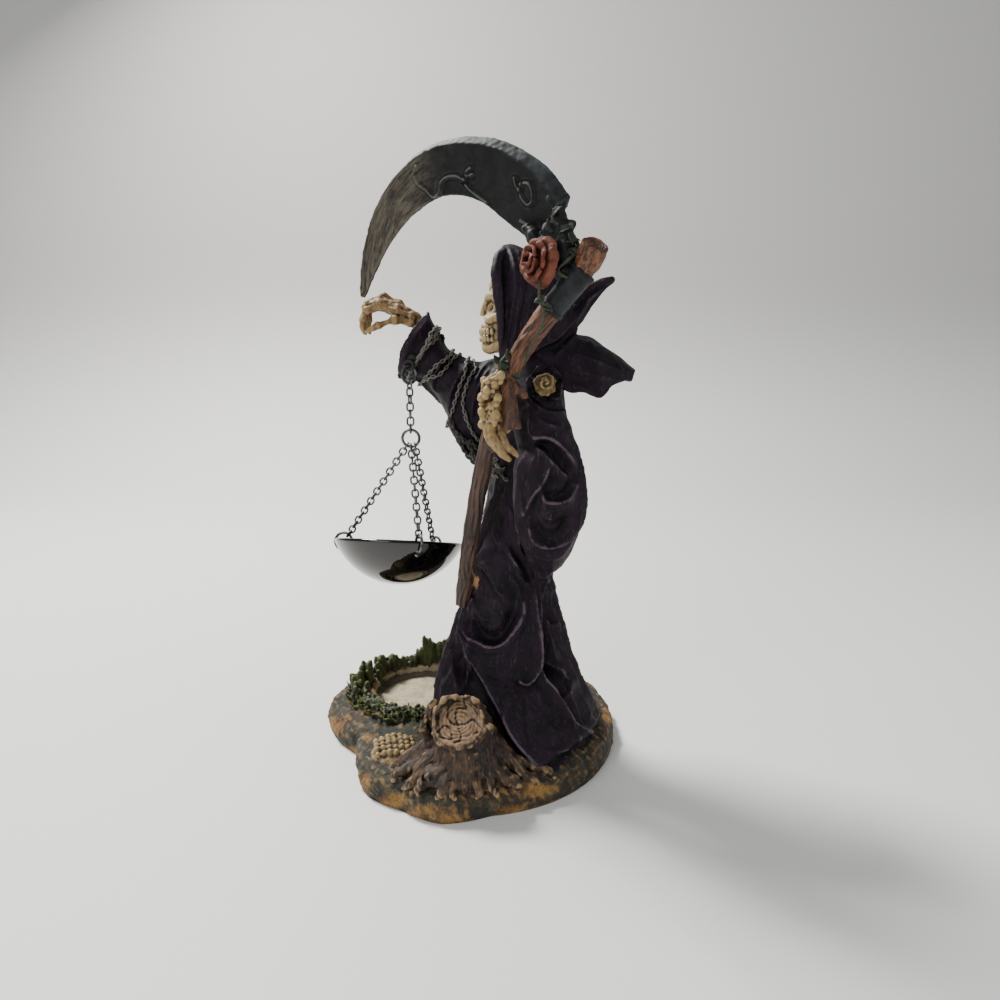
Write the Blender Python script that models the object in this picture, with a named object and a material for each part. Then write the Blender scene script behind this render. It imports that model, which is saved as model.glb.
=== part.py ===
"""A painted resin reaper figurine: robed skeleton on a ground base, a scythe in one hand, and an oil
dish hung by chains from the other sleeve, over a round recess for a small candle.

Run with: blender --background --python part.py
Metres, +Z up. The figure faces -X, its left side is at -Y, and the origin is the centre of the underside.
The figure is a free form: its pose is given in figure units, 283 of which make the figure's height.
"""
import math

import bmesh
import bpy
import numpy as np
from mathutils import Euler, Matrix, Vector, noise

# Driving dimensions, in metres
FIGURE_HEIGHT = 0.283
BASE_THICKNESS = 0.013
RECESS_DIAMETER = 0.053
RECESS_DEPTH = 0.0035
SHAFT_DIAMETER = 0.0072
SOCKET_DIAMETER = 0.0108
SOCKET_LENGTH = 0.019
KNOB_DIAMETER = 0.0118
GRIP_DIAMETER = 0.0076
GRIP_LENGTH = 0.024
BLADE_BACK_THICKNESS = 0.0065
BLADE_EDGE_THICKNESS = 0.0014
ROSE_DIAMETER = 0.0182
DISH_DIAMETER = 0.064
DISH_DEPTH = 0.0205
DISH_WALL = 0.0022
RIM_HOLE_DROP = 0.0042
RING_OUTER_DIAMETER = 0.0095
RING_WIRE = 0.0014
LINK_LENGTH = 0.005
LINK_WIRE = 0.001
EYE_WIRE = 0.0022
CLEARANCE = 0.0003
RIM_HOLE_PLAY = 0.0023
RIM_RING_PLAY = 0.003
EYE_HOLE_PLAY = 0.0015

# Sizes that follow from those
RIM_HOLE_DIAMETER = RING_WIRE + RIM_HOLE_PLAY
RIM_RING_OUTER_DIAMETER = RIM_HOLE_DROP + 2 * RING_WIRE + RIM_RING_PLAY
LINK_WIDTH = RING_WIRE + 2 * CLEARANCE + 2 * LINK_WIRE
EYE_OUTER_DIAMETER = RING_WIRE + EYE_HOLE_PLAY + 2 * EYE_WIRE

# Angles, in degrees
DISH_TIP = 16.0
DISH_ROLL = 2.5
FIRST_RIM_HOLE = 175.0
SPREADER_HOOKS = (-120.0, -90.0, -62.0)

# Counts and mesh fineness
UPPER_CHAIN_LINKS = 8
CLAY_VOXEL = 0.95
FIGURE_TRIANGLES = 4450
SCYTHE_TRIANGLES = 960

# The dish's three chains, in order round its rim
CHAIN_SIDES = ("left", "near", "far")
RING_TURNS, RING_SIDES = 12, 4
LINK_TURNS, LINK_SIDES = 6, 3
LINK_BITE = 0.25
DISH_SIDES = 26

# One figure unit, in metres
UNIT = FIGURE_HEIGHT / 283

# Places in figure units
RECESS_CENTRE = Vector((-25.0, 28.0, 0.0))
WRIST_EYE = Vector((-26.8, 6.6, 188.6))
SHAFT_PATH = [(-1.5, -15, 78), (0.5, -19, 96), (4, -25, 121), (9.5, -33, 150), (14.5, -40, 170),
              (19.5, -43.5, 185), (28.5, -47, 199), (37.5, -50, 212), (46.5, -53, 223.5), (51, -59.5, 234)]
SHAFT_SWELL = (1.0, 0.96, 1.02, 1.0, 1.0, 0.9, 1.1, 1.25, 1.2, 1.2)
GRIP_CENTRE = Vector((19.6, -46.8, 176.5))
GRIP_AXIS = Vector((2.0, -1.6, -21.0)).normalized()
DISH_OFFSET = Vector((-8.0, 8.0, -54.5))
BLADE_ROOT = Vector((36.0, -46.0, 0.0))
BLADE_TIP = Vector((-50.0, 20.0, 0.0))
# The blade's back and edge from heel to tip, in its own plane: reach from the root, and height
BLADE_BACK_LINE = [(-8, 253.3), (5, 267), (25, 278), (46, 282), (66, 280.3), (86, 270), (99.5, 255),
                   (107, 236.5), (109, 220.6)]
BLADE_EDGE_LINE = [(8, 237.6), (22, 247), (36, 256.3), (54, 260.2), (72, 255.3), (88.6, 243.2), (99.9, 229.7),
                   (106.9, 219.8)]


def srgb(red, green, blue):
    """A screen colour, 0 to 255, as the linear colour that a shader takes."""
    def linear(c):
        c /= 255
        return c / 12.92 if c <= 0.04045 else ((c + 0.055) / 1.055) ** 2.4
    return (linear(red), linear(green), linear(blue), 1.0)


def paint(name, colour, roughness, metallic=0.0):
    material = bpy.data.materials.new(name)
    material.use_nodes = True
    shader = material.node_tree.nodes["Principled BSDF"]
    shader.inputs["Base Color"].default_value = colour
    shader.inputs["Roughness"].default_value = roughness
    shader.inputs["Metallic"].default_value = metallic
    material.diffuse_color = colour
    return material


def spline(points, steps):
    """Points along a smooth curve through the given ones, which may hold more than three numbers each."""
    p = np.array(points, float)
    p = np.vstack([2 * p[0] - p[1], p, 2 * p[-1] - p[-2]])
    found = []
    for k in range(1, len(p) - 2):
        for t in np.linspace(0, 1, steps, endpoint=False):
            a, b, c, d = p[k - 1], p[k], p[k + 1], p[k + 2]
            found.append(0.5 * (2 * b + (c - a) * t + (2 * a - 5 * b + 4 * c - d) * t * t
                                + (3 * b - a - 3 * c + d) * t ** 3))
    found.append(p[-2])
    return np.array(found)


def loft(bm, rings):
    """A closed solid through rings of equal count, with a flat cap on each end."""
    rows = [[bm.verts.new(p) for p in ring] for ring in rings]
    count = len(rows[0])
    for low, high in zip(rows, rows[1:]):
        for k in range(count):
            n = (k + 1) % count
            bm.faces.new((low[k], low[n], high[n], high[k]))
    bm.faces.new(rows[0][::-1])
    bm.faces.new(rows[-1])


def frames(path):
    """For each point of a path, two directions across it that turn as little as they can."""
    tangents = [Vector(t).normalized() for t in np.gradient(np.array(path, float), axis=0)]
    side = tangents[0].orthogonal().normalized()
    found = []
    for t in tangents:
        side = (side - t * side.dot(t)).normalized()
        found.append((side, t.cross(side), t))
    return found


def tube(bm, points, sides=8, steps=3, flat=1.0, across=None, round_ends=True):
    """A swept solid. Each point is x, y, z and radius; flat squeezes it along the direction across."""
    line = spline(points, steps)
    path, radii = line[:, :3], line[:, 3]
    rings = []
    squeeze = Vector(across).normalized() if across is not None else None
    for place, radius, (u, v, t) in zip(path, radii, frames(path)):
        ring = []
        for k in range(sides):
            a = 2 * math.pi * k / sides
            out = (u * math.cos(a) + v * math.sin(a)) * radius
            if squeeze is not None:
                out -= squeeze * out.dot(squeeze) * (1 - flat)
            ring.append(Vector(place) + out)
        rings.append(ring)
    if round_ends:
        for end, inner in ((0, 1), (-1, -2)):
            middle = Vector(path[end])
            out = (middle - Vector(path[inner])).normalized() * radii[end] * 0.6
            cap = [middle + (p - middle) * 0.55 + out for p in rings[end]]
            rings.insert(0, cap) if end == 0 else rings.append(cap)
    loft(bm, rings)


def ball(bm, centre, radii, turn=(0, 0, 0), fineness=2):
    made = bmesh.ops.create_icosphere(bm, subdivisions=fineness, radius=1.0)["verts"]
    spin = Euler([math.radians(a) for a in turn]).to_matrix()
    for v in made:
        v.co = spin @ Vector([c * r for c, r in zip(v.co, radii)]) + Vector(centre)


def sheet(bm, rows, thickness):
    """A closed shell around a grid of points: rows of equal count, given a thickness along their normals."""
    grid = np.array(rows, float)
    along = np.gradient(grid, axis=0)
    across = np.gradient(grid, axis=1)
    normal = np.cross(along, across)
    normal /= np.linalg.norm(normal, axis=2, keepdims=True) + 1e-9
    faces = [[[bm.verts.new(p) for p in row] for row in grid + normal * thickness * half]
             for half in (0.5, -0.5)]
    high, low = faces
    n, m = len(grid), len(grid[0])
    for i in range(n - 1):
        for j in range(m - 1):
            bm.faces.new((high[i][j], high[i + 1][j], high[i + 1][j + 1], high[i][j + 1]))
            bm.faces.new((low[i][j], low[i][j + 1], low[i + 1][j + 1], low[i + 1][j]))
    edge = ([(i, 0) for i in range(n)] + [(n - 1, j) for j in range(1, m)]
            + [(i, m - 1) for i in range(n - 2, -1, -1)] + [(0, j) for j in range(m - 2, 0, -1)])
    for (i, j), (k, l) in zip(edge, edge[1:] + edge[:1]):
        bm.faces.new((high[k][l], high[i][j], low[i][j], low[k][l]))


def arch(sections, thickness, bm, points=15):
    """A sheet bent over the figure.

    Each section is its top x, side x, half width, top z, bottom z and middle y.
    """
    rows = []
    for top_x, side_x, half, top, bottom, middle in spline(sections, 4):
        row = []
        for a in np.linspace(-1, 1, points):
            bend = abs(math.sin(a * math.pi / 2)) ** 1.2
            wide = math.sin(min(1.0, abs(a) * 1.35) * math.pi / 2) * math.copysign(1, a)
            x = top_x + (side_x - top_x) * bend
            row.append((x, middle + half * wide, top + (bottom - top) * (1 - math.cos(a * math.pi / 2))))
        rows.append(row)
    sheet(bm, rows, thickness)


def mesh_object(name, bm):
    bmesh.ops.recalc_face_normals(bm, faces=bm.faces)
    mesh = bpy.data.meshes.new(name)
    bm.to_mesh(mesh)
    bm.free()
    made = bpy.data.objects.new(name, mesh)
    bpy.context.collection.objects.link(made)
    return made


def settle(thing):
    """Turns an object's modifiers into its mesh."""
    bpy.context.view_layer.update()
    shaped = thing.evaluated_get(bpy.context.evaluated_depsgraph_get())
    mesh = bpy.data.meshes.new_from_object(shaped)
    thing.modifiers.clear()
    thing.data = mesh
    return thing


def fuse(thing, voxel, smooth=0, factor=0.5):
    """Melts overlapping solids into one skin, as clay joins."""
    melt = thing.modifiers.new("melt", "REMESH")
    melt.mode = "VOXEL"
    melt.voxel_size = voxel
    if smooth:
        soften = thing.modifiers.new("soften", "SMOOTH")
        soften.iterations = smooth
        soften.factor = factor
    return settle(thing)


def thin_out(thing, triangles):
    """Leaves about this many triangles, the most where the form bends most."""
    thing.data.calc_loop_triangles()
    fewer = thing.modifiers.new("fewer", "DECIMATE")
    fewer.ratio = min(1.0, triangles / max(1, len(thing.data.loop_triangles)))
    fewer.use_collapse_triangulate = True
    return settle(thing)


def keep_largest(thing):
    """Drops the small loose skins that melting can leave inside a form."""
    bm = bmesh.new()
    bm.from_mesh(thing.data)
    left, islands = set(bm.verts), []
    while left:
        stack = [left.pop()]
        island = set(stack)
        while stack:
            for edge in stack.pop().link_edges:
                for v in edge.verts:
                    if v in left:
                        left.discard(v)
                        island.add(v)
                        stack.append(v)
        islands.append(island)
    islands.sort(key=len, reverse=True)
    bmesh.ops.delete(bm, geom=[v for island in islands[1:] for v in island], context="VERTS")
    bm.to_mesh(thing.data)
    bm.free()


def cut(thing, cutter, operation="DIFFERENCE"):
    """Cuts or joins with another object, which is then gone."""
    tool = thing.modifiers.new("cut", "BOOLEAN")
    tool.operation = operation
    tool.solver = "EXACT"
    tool.object = cutter
    settle(thing)
    bpy.data.objects.remove(cutter)
    return thing


def body_sections():
    """The robe's body, each as z, middle x, half depth, middle y, half width, and the lean of y with x."""
    return [(3, 27, 43, -11, 42, 0.34), (9, 27, 44, -11, 43, 0.36), (22, 25, 40, -9.5, 39.5, 0.34),
            (34, 22.5, 36, -8, 34.5, 0.3), (50, 21.5, 31, -6, 28.5, 0.2), (65, 22, 26.5, -5, 25, 0.1),
            (80, 22, 22.5, -4, 23, 0), (96, 23, 19.5, -2, 21, 0), (110, 25, 17.5, 0, 20, 0),
            (126, 27, 17, 0, 21, 0), (145, 29, 18, 0, 23, 0), (160, 30, 18, 0, 25, 0),
            (173, 30, 16, 0, 26, 0), (183, 30.5, 14.5, 0, 24, 0), (191, 31, 12, 0, 16, 0),
            (198, 31, 9, 0, 10, 0)]


def clear_of_recess(x, y, z):
    """Pushes a point of the hem out of the candle recess, less and less with height."""
    share = min(1.0, max(0.0, (58 - z) / 30))
    keep = (RECESS_DIAMETER / 2 / UNIT + 3.2) * share
    off = Vector((x, y, 0)) - RECESS_CENTRE
    if 0 < off.length < keep:
        off *= keep / off.length
    return RECESS_CENTRE.x + off.x, RECESS_CENTRE.y + off.y, z


def robe_body(bm, sides=40):
    rings = []
    for z, x, depth, y, width, lean in spline(body_sections(), 3):
        ring = []
        for k in range(sides):
            a = 2 * math.pi * k / sides
            off = depth * math.cos(a)
            far = 0.5 + 0.5 * math.sin(a)
            ring.append(clear_of_recess(x + off, y + width * math.sin(a) + lean * off * far, z))
        rings.append(ring)
    loft(bm, rings)


def left_sleeve(bm, sides=22):
    """The near sleeve: an upper arm, and a bag of cloth that hangs from the wrist to below the elbow."""
    tube(bm, [(28, -16, 184, 11.5), (31.5, -24, 172, 12), (35.5, -28, 158, 12.5), (39, -28, 146, 12)],
         sides=14)
    rings = []
    bag = [(160.5, 39.5, 6.5, -30, 5), (156, 37, 12, -31, 8), (150, 36.5, 14, -32, 9.5),
           (140, 37, 15.5, -32, 11), (127, 37.5, 15.5, -31, 11.5), (114, 37.5, 13, -29, 10.5),
           (103, 37, 8.5, -27, 8), (95, 35, 3, -25, 4)]
    for z, x, depth, y, width in spline(bag, 3):
        rings.append([(x + depth * math.cos(a), y + width * math.sin(a), z)
                      for a in np.linspace(0, 2 * math.pi, sides, endpoint=False)])
    loft(bm, rings)


def right_sleeve(bm, sides=20):
    """The far sleeve, held forward and open at the cuff.

    Each section is its top x and z, bottom x and z, middle y and half width.
    """
    sections = [(34, 196, 28, 158, 14, 17), (18, 193, 12, 150, 20, 18), (5.2, 190, -3, 149, 22, 17),
                (-3, 193.5, -8.8, 160, 22.5, 15.5), (-8.8, 197, -14.5, 171, 22.5, 14.5),
                (-13.6, 206.5, -21.5, 180, 22, 14), (-18.5, 212.5, -31.2, 182, 22, 13.5)]
    rings = []
    for top_x, top_z, low_x, low_z, y, wide in spline(sections, 3):
        top, low = Vector((top_x, y, top_z)), Vector((low_x, y, low_z))
        middle, up = (top + low) / 2, (top - low) / 2
        rings.append([middle + Vector((0, 1, 0)) * wide * math.cos(a) + up * math.sin(a)
                      for a in np.linspace(0, 2 * math.pi, sides, endpoint=False)])
    rings.append([middle + (p - middle) * 0.78 for p in rings[-1]])
    inside = Vector((15, 0, -5))
    rings.append([p + inside for p in rings[-1]])
    loft(bm, rings)
    tube(bm, [(-19.6, 22, 206, 3.2), (-18.9, 22, 213, 1.2)], sides=6, steps=2)
    tube(bm, [(-2, 20, 163, 9), (3, 19, 152, 8), (6, 18, 142, 4)], sides=10)


def hood(bm):
    """The cowl around the skull, its tail that flies back, and the cape that flies from the shoulders."""
    arch([(20.5, 18, 11.5, 241.5, 186, 0), (23, 21, 16.5, 241, 184, 0), (29, 27, 18, 237.5, 182, 0),
          (38, 36, 16.5, 231, 182, 0), (46, 44, 12, 222, 184, 0), (51, 49, 5, 212, 190, 0)], 3.4, bm)
    for side in (-1, 1):
        tube(bm, [(21, 7 * side, 238, 1.8), (18.2, 12.4 * side, 231, 2.2), (17, 15.4 * side, 218, 2.3),
                  (17, 15.6 * side, 204, 2.3), (17.8, 13.5 * side, 192, 2.4)], sides=8)
    tube(bm, [(40, 0, 212, 13), (50, 0, 210, 10), (57, 0, 214.5, 6.2), (62, 0, 221, 3.6), (67, 0, 227, 2)],
         sides=12, flat=0.8, across=(0, 1, 0))
    tube(bm, [(36, 0, 205, 16), (43, 0, 198, 13), (47, 0, 190, 10)], sides=14)
    arch([(33, 33, 19, 203, 178, 0), (45, 44, 20, 203.5, 174, 0), (58, 57, 18, 203, 170.5, 0),
          (66, 63, 15, 199, 174, 0), (74, 70, 11, 193, 177, 0), (79, 77, 8, 187.5, 178, 0)], 3.8, bm)


def robe_fold_lines():
    """Folds on the robe: which side they are seen from, their line there, then width and height."""
    near, far, front, back = (0, -1, 0), (0, 1, 0), (-1, 0, 0), (1, 0, 0)
    lines = [
        (near, [(-4, 74), (4, 57), (15, 52), (24, 59), (28, 74)], 6, 2.6),
        (near, [(-7, 66), (2, 47), (16, 43), (30, 54)], 5, 1.8),
        (near, [(-2, 84), (6, 72), (16, 66), (24, 72)], 5, 1.6),
        (near, [(5, 66), (15, 60), (22, 68)], 5, -2.0),
        (near, [(33, 92), (33, 70), (34, 52), (31, 38)], 4.5, 2.4),
        (near, [(38, 90), (37, 68), (38, 50), (46, 34), (52, 16)], 4.5, 2.4),
        (near, [(36, 80), (35.5, 60), (35, 44)], 3, -1.6),
        (near, [(35, 50), (44, 32), (56, 24), (68, 16)], 5, 3.0),
        (near, [(33, 42), (34, 26), (33, 8)], 5, 2.6),
        (near, [(-2, 62), (6, 38), (18, 22), (32, 8)], 6, 3.0),
        (near, [(8, 46), (16, 30), (26, 16)], 5, -2.2),
        (near, [(-7, 58), (-12, 36), (-14, 16)], 5, 2.4),
        (near, [(0, 46), (2, 26), (6, 10)], 5, 1.8),
        (near, [(50, 42), (48, 30), (56, 12)], 5, 2.0),
        (near, [(22, 134), (26, 112), (24, 92)], 4, 1.8),
        (near, [(10, 128), (16, 108), (20, 88)], 4, 1.6),
        (near, [(9, 112), (6, 96), (8, 84)], 4, 1.4),
        (near, [(24, 150), (26, 128), (31, 108), (37, 97)], 4, 2.0),
        (near, [(28, 120), (38, 113), (48, 118), (55, 132)], 4.5, 2.4),
        (near, [(29, 133), (36, 127), (45, 129), (54, 142)], 4, 1.8),
        (near, [(32, 126), (40, 121), (49, 127)], 4, -2.6),
        (near, [(38, 158), (48, 153), (54, 140)], 4, 1.8),
        (near, [(35, 182), (40, 170), (50, 160)], 4, 2.0),
        (near, [(28, 178), (33, 166), (42, 158)], 4, 1.6),
        (near, [(22, 236), (21, 216), (22, 196)], 3.5, 1.3),
        (near, [(30, 234), (29, 214), (27, 196)], 3.5, 1.5),
        (near, [(50, 216), (58, 220), (66, 227)], 3, 1.2),
        (near, [(40, 196), (54, 196), (70, 190)], 4, 1.4),
        (near, [(44, 184), (56, 180), (66, 180)], 4, 1.4),
        (front, [(-22, 150), (-8, 120), (2, 96)], 4, 1.6),
        (front, [(14, 140), (6, 112), (0, 90)], 4, 1.6),
        (back, [(-10, 160), (-6, 110), (-10, 60), (-16, 14)], 5, 2.4),
        (back, [(4, 165), (6, 110), (8, 60), (14, 12)], 5, 2.4),
        (back, [(16, 150), (14, 100), (20, 50), (26, 12)], 5, 2.0),
    ]
    for k in range(7):
        x = -6 + 10 * k
        height = 2.3 if k % 2 else 1.5
        lines.append((far, [(18 + 0.2 * x, 150 - 4 * k), (14 + 0.5 * x, 90), (x, 12)], 5, height))
        lines.append((front, [(-4 + 1.5 * k, 70), (-26 + 7 * k, 12)], 5, height))
    lines.append((far, [(4, 196), (-2, 176), (-14, 172)], 4, 1.6))
    lines.append((near, [(8, 190), (-2, 172), (-8, 160)], 4, 1.6))
    lines.append((near, [(2, 184), (-10, 178), (-18, 182)], 4, 1.4))
    return lines


def press_folds(thing):
    """Raises the folds on the robe, and flutes it towards the hem."""
    mesh = thing.data
    count = len(mesh.vertices)
    place, normal = np.empty(count * 3), np.empty(count * 3)
    mesh.vertices.foreach_get("co", place)
    mesh.vertices.foreach_get("normal", normal)
    place, normal = place.reshape(-1, 3), normal.reshape(-1, 3)
    raised = np.zeros(count)
    for side, line, width, height in robe_fold_lines():
        axis = 1 if side[1] else 0
        seen = place[:, [1 - axis, 2]]
        facing = np.clip(normal @ np.array(side) * 1.6, 0, 1)
        points = spline(line, 5)
        nearest = np.full(count, np.inf)
        for a, b in zip(points, points[1:]):
            step = b - a
            t = np.clip(((seen - a) @ step) / (step @ step), 0, 1)
            nearest = np.minimum(nearest, np.linalg.norm(seen - a - t[:, None] * step, axis=1))
        raised += height * facing * np.clip(1 - nearest / width, 0, 1) ** 1.5
    turn = np.arctan2(place[:, 1] + 4, place[:, 0] - 24)
    low = np.clip((70 - place[:, 2]) / 60, 0, 1)
    raised += low * 1.5 * np.abs(np.sin(5.5 * turn + place[:, 2] * 0.03)) - 0.8 * low
    mesh.vertices.foreach_set("co", (place + normal * raised[:, None]).ravel())
    mesh.update()


def skull(bm):
    """A plain skull, its face just proud of the hood."""
    ball(bm, (28, 0, 220), (16, 12, 15))
    ball(bm, (18, 0, 224), (6.5, 9.5, 7.5))
    for side in (-1, 1):
        tube(bm, [(10.6, 1.4 * side, 219.2, 1.8), (12.2, 6 * side, 220.6, 2.1), (16.5, 9.4 * side, 217, 2.0)],
             sides=7)
        tube(bm, [(11, 3.4 * side, 210.6, 2.0), (13.2, 7.4 * side, 210.8, 2.5), (18.5, 10 * side, 213, 2.2),
                  (27, 11.5 * side, 213, 1.7)], sides=7)
        tube(bm, [(9.8, 2.2 * side, 196.8, 2.5), (15, 6.4 * side, 198, 2.4), (25, 9.4 * side, 204, 2.5),
                  (28, 10 * side, 213, 2.2)], sides=7)
        tube(bm, [(9.6, 2.4 * side, 216, 1.0), (9.4, 3.0 * side, 210, 1.1), (9.6, 2.6 * side, 206.6, 1.1)],
             sides=6)
    tube(bm, [(11.5, 0, 219, 2.1), (8.6, 0, 215.4, 1.7), (7.9, 0, 213.2, 1.1)], sides=7)
    ball(bm, (14.5, 0, 205.6), (7.2, 6, 3.2))
    ball(bm, (14.5, 0, 200.2), (6.8, 5.6, 3.6))
    ball(bm, (10.2, 0, 197.4), (2.9, 4, 3.0))
    for row, z in enumerate((203.8, 201.2)):
        for k in range(-3, 4):
            a = k * 0.36
            ball(bm, (14.6 - 7.4 * math.cos(a), 5.4 * math.sin(a) * 1.15, z), (0.95, 1.0, 1.5), fineness=1)
    ball(bm, (20, 0, 211), (8, 5, 8))


def bone(bm, start, end, radius, swell=1.35):
    """One finger or arm bone, thicker at its ends."""
    a, b = Vector(start), Vector(end)
    points = [(*a, radius * swell), (*a.lerp(b, 0.3), radius * 0.85), (*a.lerp(b, 0.7), radius * 0.85),
              (*b, radius * swell)]
    tube(bm, points, sides=7, steps=2)


def right_hand(bm):
    """The far hand, palm down, its fingers bent over a hollow and the thumb below."""
    tube(bm, [(-12, 22, 200, 3.8), (-21, 22, 203.5, 3.8), (-27, 22, 207.5, 4.4)], sides=8)
    for k in range(4):
        y = 15.5 + 4.2 * k
        reach = (0, 1.6, 1.2, -1.2)[k]
        knuckle = (-32.5, y, 215 + 0.6 * reach)
        middle = (-42 - reach, y - 0.4, 219.2)
        last = (-49 - reach, y - 0.4, 214)
        bone(bm, (-26, 19 + 2 * k, 207.5), knuckle, 1.7)
        bone(bm, knuckle, middle, 1.5)
        bone(bm, middle, last, 1.35)
        bone(bm, last, (-50.2 - reach, y, 204.5 + (k % 2)), 1.15, 1.1)
    bone(bm, (-27, 18, 206.5), (-34, 13, 209.5), 1.8)
    bone(bm, (-34, 13, 209.5), (-42, 12.5, 207.5), 1.5)
    bone(bm, (-42, 12.5, 207.5), (-47, 14, 203.5), 1.2, 1.1)


def left_hand(bm):
    """The near hand, a fist of bones round the scythe's grip, its arm bones in the sleeve."""
    axis = GRIP_AXIS
    out = Vector((-1, 0, 0))
    out = (out - axis * out.dot(axis)).normalized()
    near = out.cross(axis).normalized()
    if near.y > 0:
        near = -near
    for k in range(4):
        middle = GRIP_CENTRE + axis * (-8.4 + 5.0 * k) + out * 1.5
        joints = [middle + near * -4.5 + out * 3.2, middle + near * -1.0 + out * 9.4,
                  middle + near * 3.6 + out * 7.6, middle + near * 5.0 + out * 3.4]
        for a, b, r in zip(joints, joints[1:], (2.0, 1.9, 1.6)):
            bone(bm, a, b, r, 1.3)
    palm = GRIP_CENTRE + near * -4.0 + out * 5.5
    for k in range(4):
        bone(bm, palm + axis * (-8 + 4.6 * k), (14 + k * 0.6, -42, 162.5 - 0.3 * k), 2.0)
    for x, y in ((13.4, -43.8), (16.6, -40.8)):
        tube(bm, [(x, y, 164, 3.0), (x + 3.4, y, 158.5, 2.5), (x + 8, y + 1.5, 151.5, 2.1),
                  (x + 14, y + 5, 146, 2.0)], sides=8)


def sleeve_chain(bm):
    """The moulded chain wound round the far sleeve, as a beaded cord, and the eye for the hanging ring."""
    loops = [(-12.8, 206.5, -28.5, 183, 22, 14.8), (-6, 195.8, -22, 180.4, 22.5, 15.4),
             (1, 192.5, -9, 160.2, 22.5, 16.8)]
    for top_x, top_z, low_x, low_z, y, wide in loops:
        top, low = Vector((top_x, y, top_z)), Vector((low_x, y, low_z))
        middle, up = (top + low) / 2, (top - low) / 2
        beads = []
        for a in np.linspace(0, 2 * math.pi, 29):
            p = middle + Vector((0, 1, 0)) * wide * math.cos(a) + up * math.sin(a)
            beads.append((*p, 1.1 + 0.35 * math.cos(14 * a)))
        tube(bm, beads, sides=6, steps=2)
    tube(bm, [(-5, 7, 186, 1.3), (-2, 5, 176, 1.4), (-1, 5.5, 166, 1.2), (3, 7, 156, 1.4), (8, 9, 150, 1.3)],
         sides=6)
    eye = (EYE_OUTER_DIAMETER - EYE_WIRE) / 2 / UNIT
    wire = EYE_WIRE / 2 / UNIT
    ring = [(WRIST_EYE.x + eye * math.cos(a), WRIST_EYE.y, WRIST_EYE.z + eye * math.sin(a), wire)
            for a in np.linspace(0, 2 * math.pi, 13)]
    tube(bm, ring, sides=7, steps=1)
    ball(bm, WRIST_EYE + Vector((1.5, 3.4, 3.6)), (3.2, 3.4, 3.0))


def outline(turn, scale=1.0, inset=0.0):
    """A point of the base's edge at an angle, in figure units: a rounded, uneven many-sided plate."""
    corners = [(-76, 14), (-70, 1), (-55, -17), (-53, -29), (-44, -52), (-28, -62), (-9, -72), (13, -66),
               (40, -56), (66, -27), (75, 16), (66, 48), (42, 70), (8, 79), (-30, 82), (-62, 58)]
    angles = np.unwrap([math.atan2(y, x) for x, y in corners])
    order = np.argsort(angles)
    reach = np.array([math.hypot(*c) for c in corners])[order]
    angles = angles[order]
    r = np.interp((turn - angles[0]) % (2 * math.pi) + angles[0], np.append(angles, angles[0] + 2 * math.pi),
                  np.append(reach, reach[0]))
    return (r * scale - inset) * math.cos(turn), (r * scale - inset) * math.sin(turn)


def ground(bm, sides=64):
    """The base plate, its edge rolled over, in figure units."""
    top = BASE_THICKNESS / UNIT
    rows = [(-3, 0, 0.2), (0.25, 0.0, 0.0), (0.55, 0.2, 0.3), (0.82, 1.8, 1.0), (1.0, 5.0, 1.6),
            (1.06, 12, 2.0), (1.1, 34, 2.0)]
    rings = []
    for share, inset, rough in rows:
        ring = []
        for a in np.linspace(0, 2 * math.pi, sides, endpoint=False):
            x, y = outline(a, inset=inset)
            z = top * share if share > 0 else share
            bump = noise.noise(Vector((x, y, 0)) * 0.06) * rough
            ring.append((x, y, z + bump))
        rings.append(ring)
    loft(bm, rings)


def stump(bm):
    """A broken trunk that leans out over the base's near edge, cut across, with spreading roots."""
    face, lean = Vector((-2, -56, 39.5)), Vector((-0.1, -0.72, 0.66)).normalized()
    tube(bm, [(4, -34, 12, 19), (3, -42, 20, 15), (0, -49, 31, 12), (*(face - lean * 0.6), 10.8)], sides=14,
         round_ends=False)
    for a in np.linspace(0.3, 2 * math.pi, 7):
        u = lean.orthogonal().normalized()
        v = lean.cross(u)
        rim = face + (u * math.cos(a) + v * math.sin(a)) * 11.2
        splinter = rim + lean * (1.4 + math.sin(5 * a))
        tube(bm, [(*(rim - lean * 9), 2.4), (*(rim - lean * 2), 2.5), (*splinter, 1.2)], sides=6, steps=2)
    tube(bm, [(-12, -42, 28, 3.4), (-15, -43, 36, 2.6), (-13.5, -44, 42, 1.4)], sides=7)
    roots = [(-34, -50, 3.4), (-27, -60, 3.0), (-11, -68, 3.8), (6, -67, 3.0), (22, -63, 3.4), (36, -54, 2.6)]
    top = BASE_THICKNESS / UNIT
    for k, (x, y, r) in enumerate(roots):
        swing = 3.5 if k % 2 else -3.0
        tube(bm, [(x * 0.1, -40, 24, 6.5), (x * 0.34, -44 + (y + 44) * 0.3, top + 9, 5.6),
                  (x * 0.62 + swing * 0.5, -44 + (y + 44) * 0.66, top + 3.4, r * 1.15),
                  (x * 0.86 - swing * 0.6, y * 0.97, top + 1.4, r * 0.8), (x, y, top - 1.2, 1.4)], sides=8)


def ground_bones(bm):
    """A hand of bones that grips the ground: four rows of three knuckles."""
    top = BASE_THICKNESS / UNIT
    for row in range(4):
        for k in range(3):
            a, b = k * 5.4, k * 5.4 + 4.8
            x, y = -40 + 0.5 * row, -31 - 4.3 * row
            rise = (2.2, 4.6, 5.2, 3.8)
            bone(bm, (x + a, y + 0.5 * k, top + rise[k]), (x + b, y + 0.5 * k, top + rise[k + 1]), 1.55, 1.25)
    ball(bm, (-31, -38, top), (9, 10, 4.6))


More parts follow.
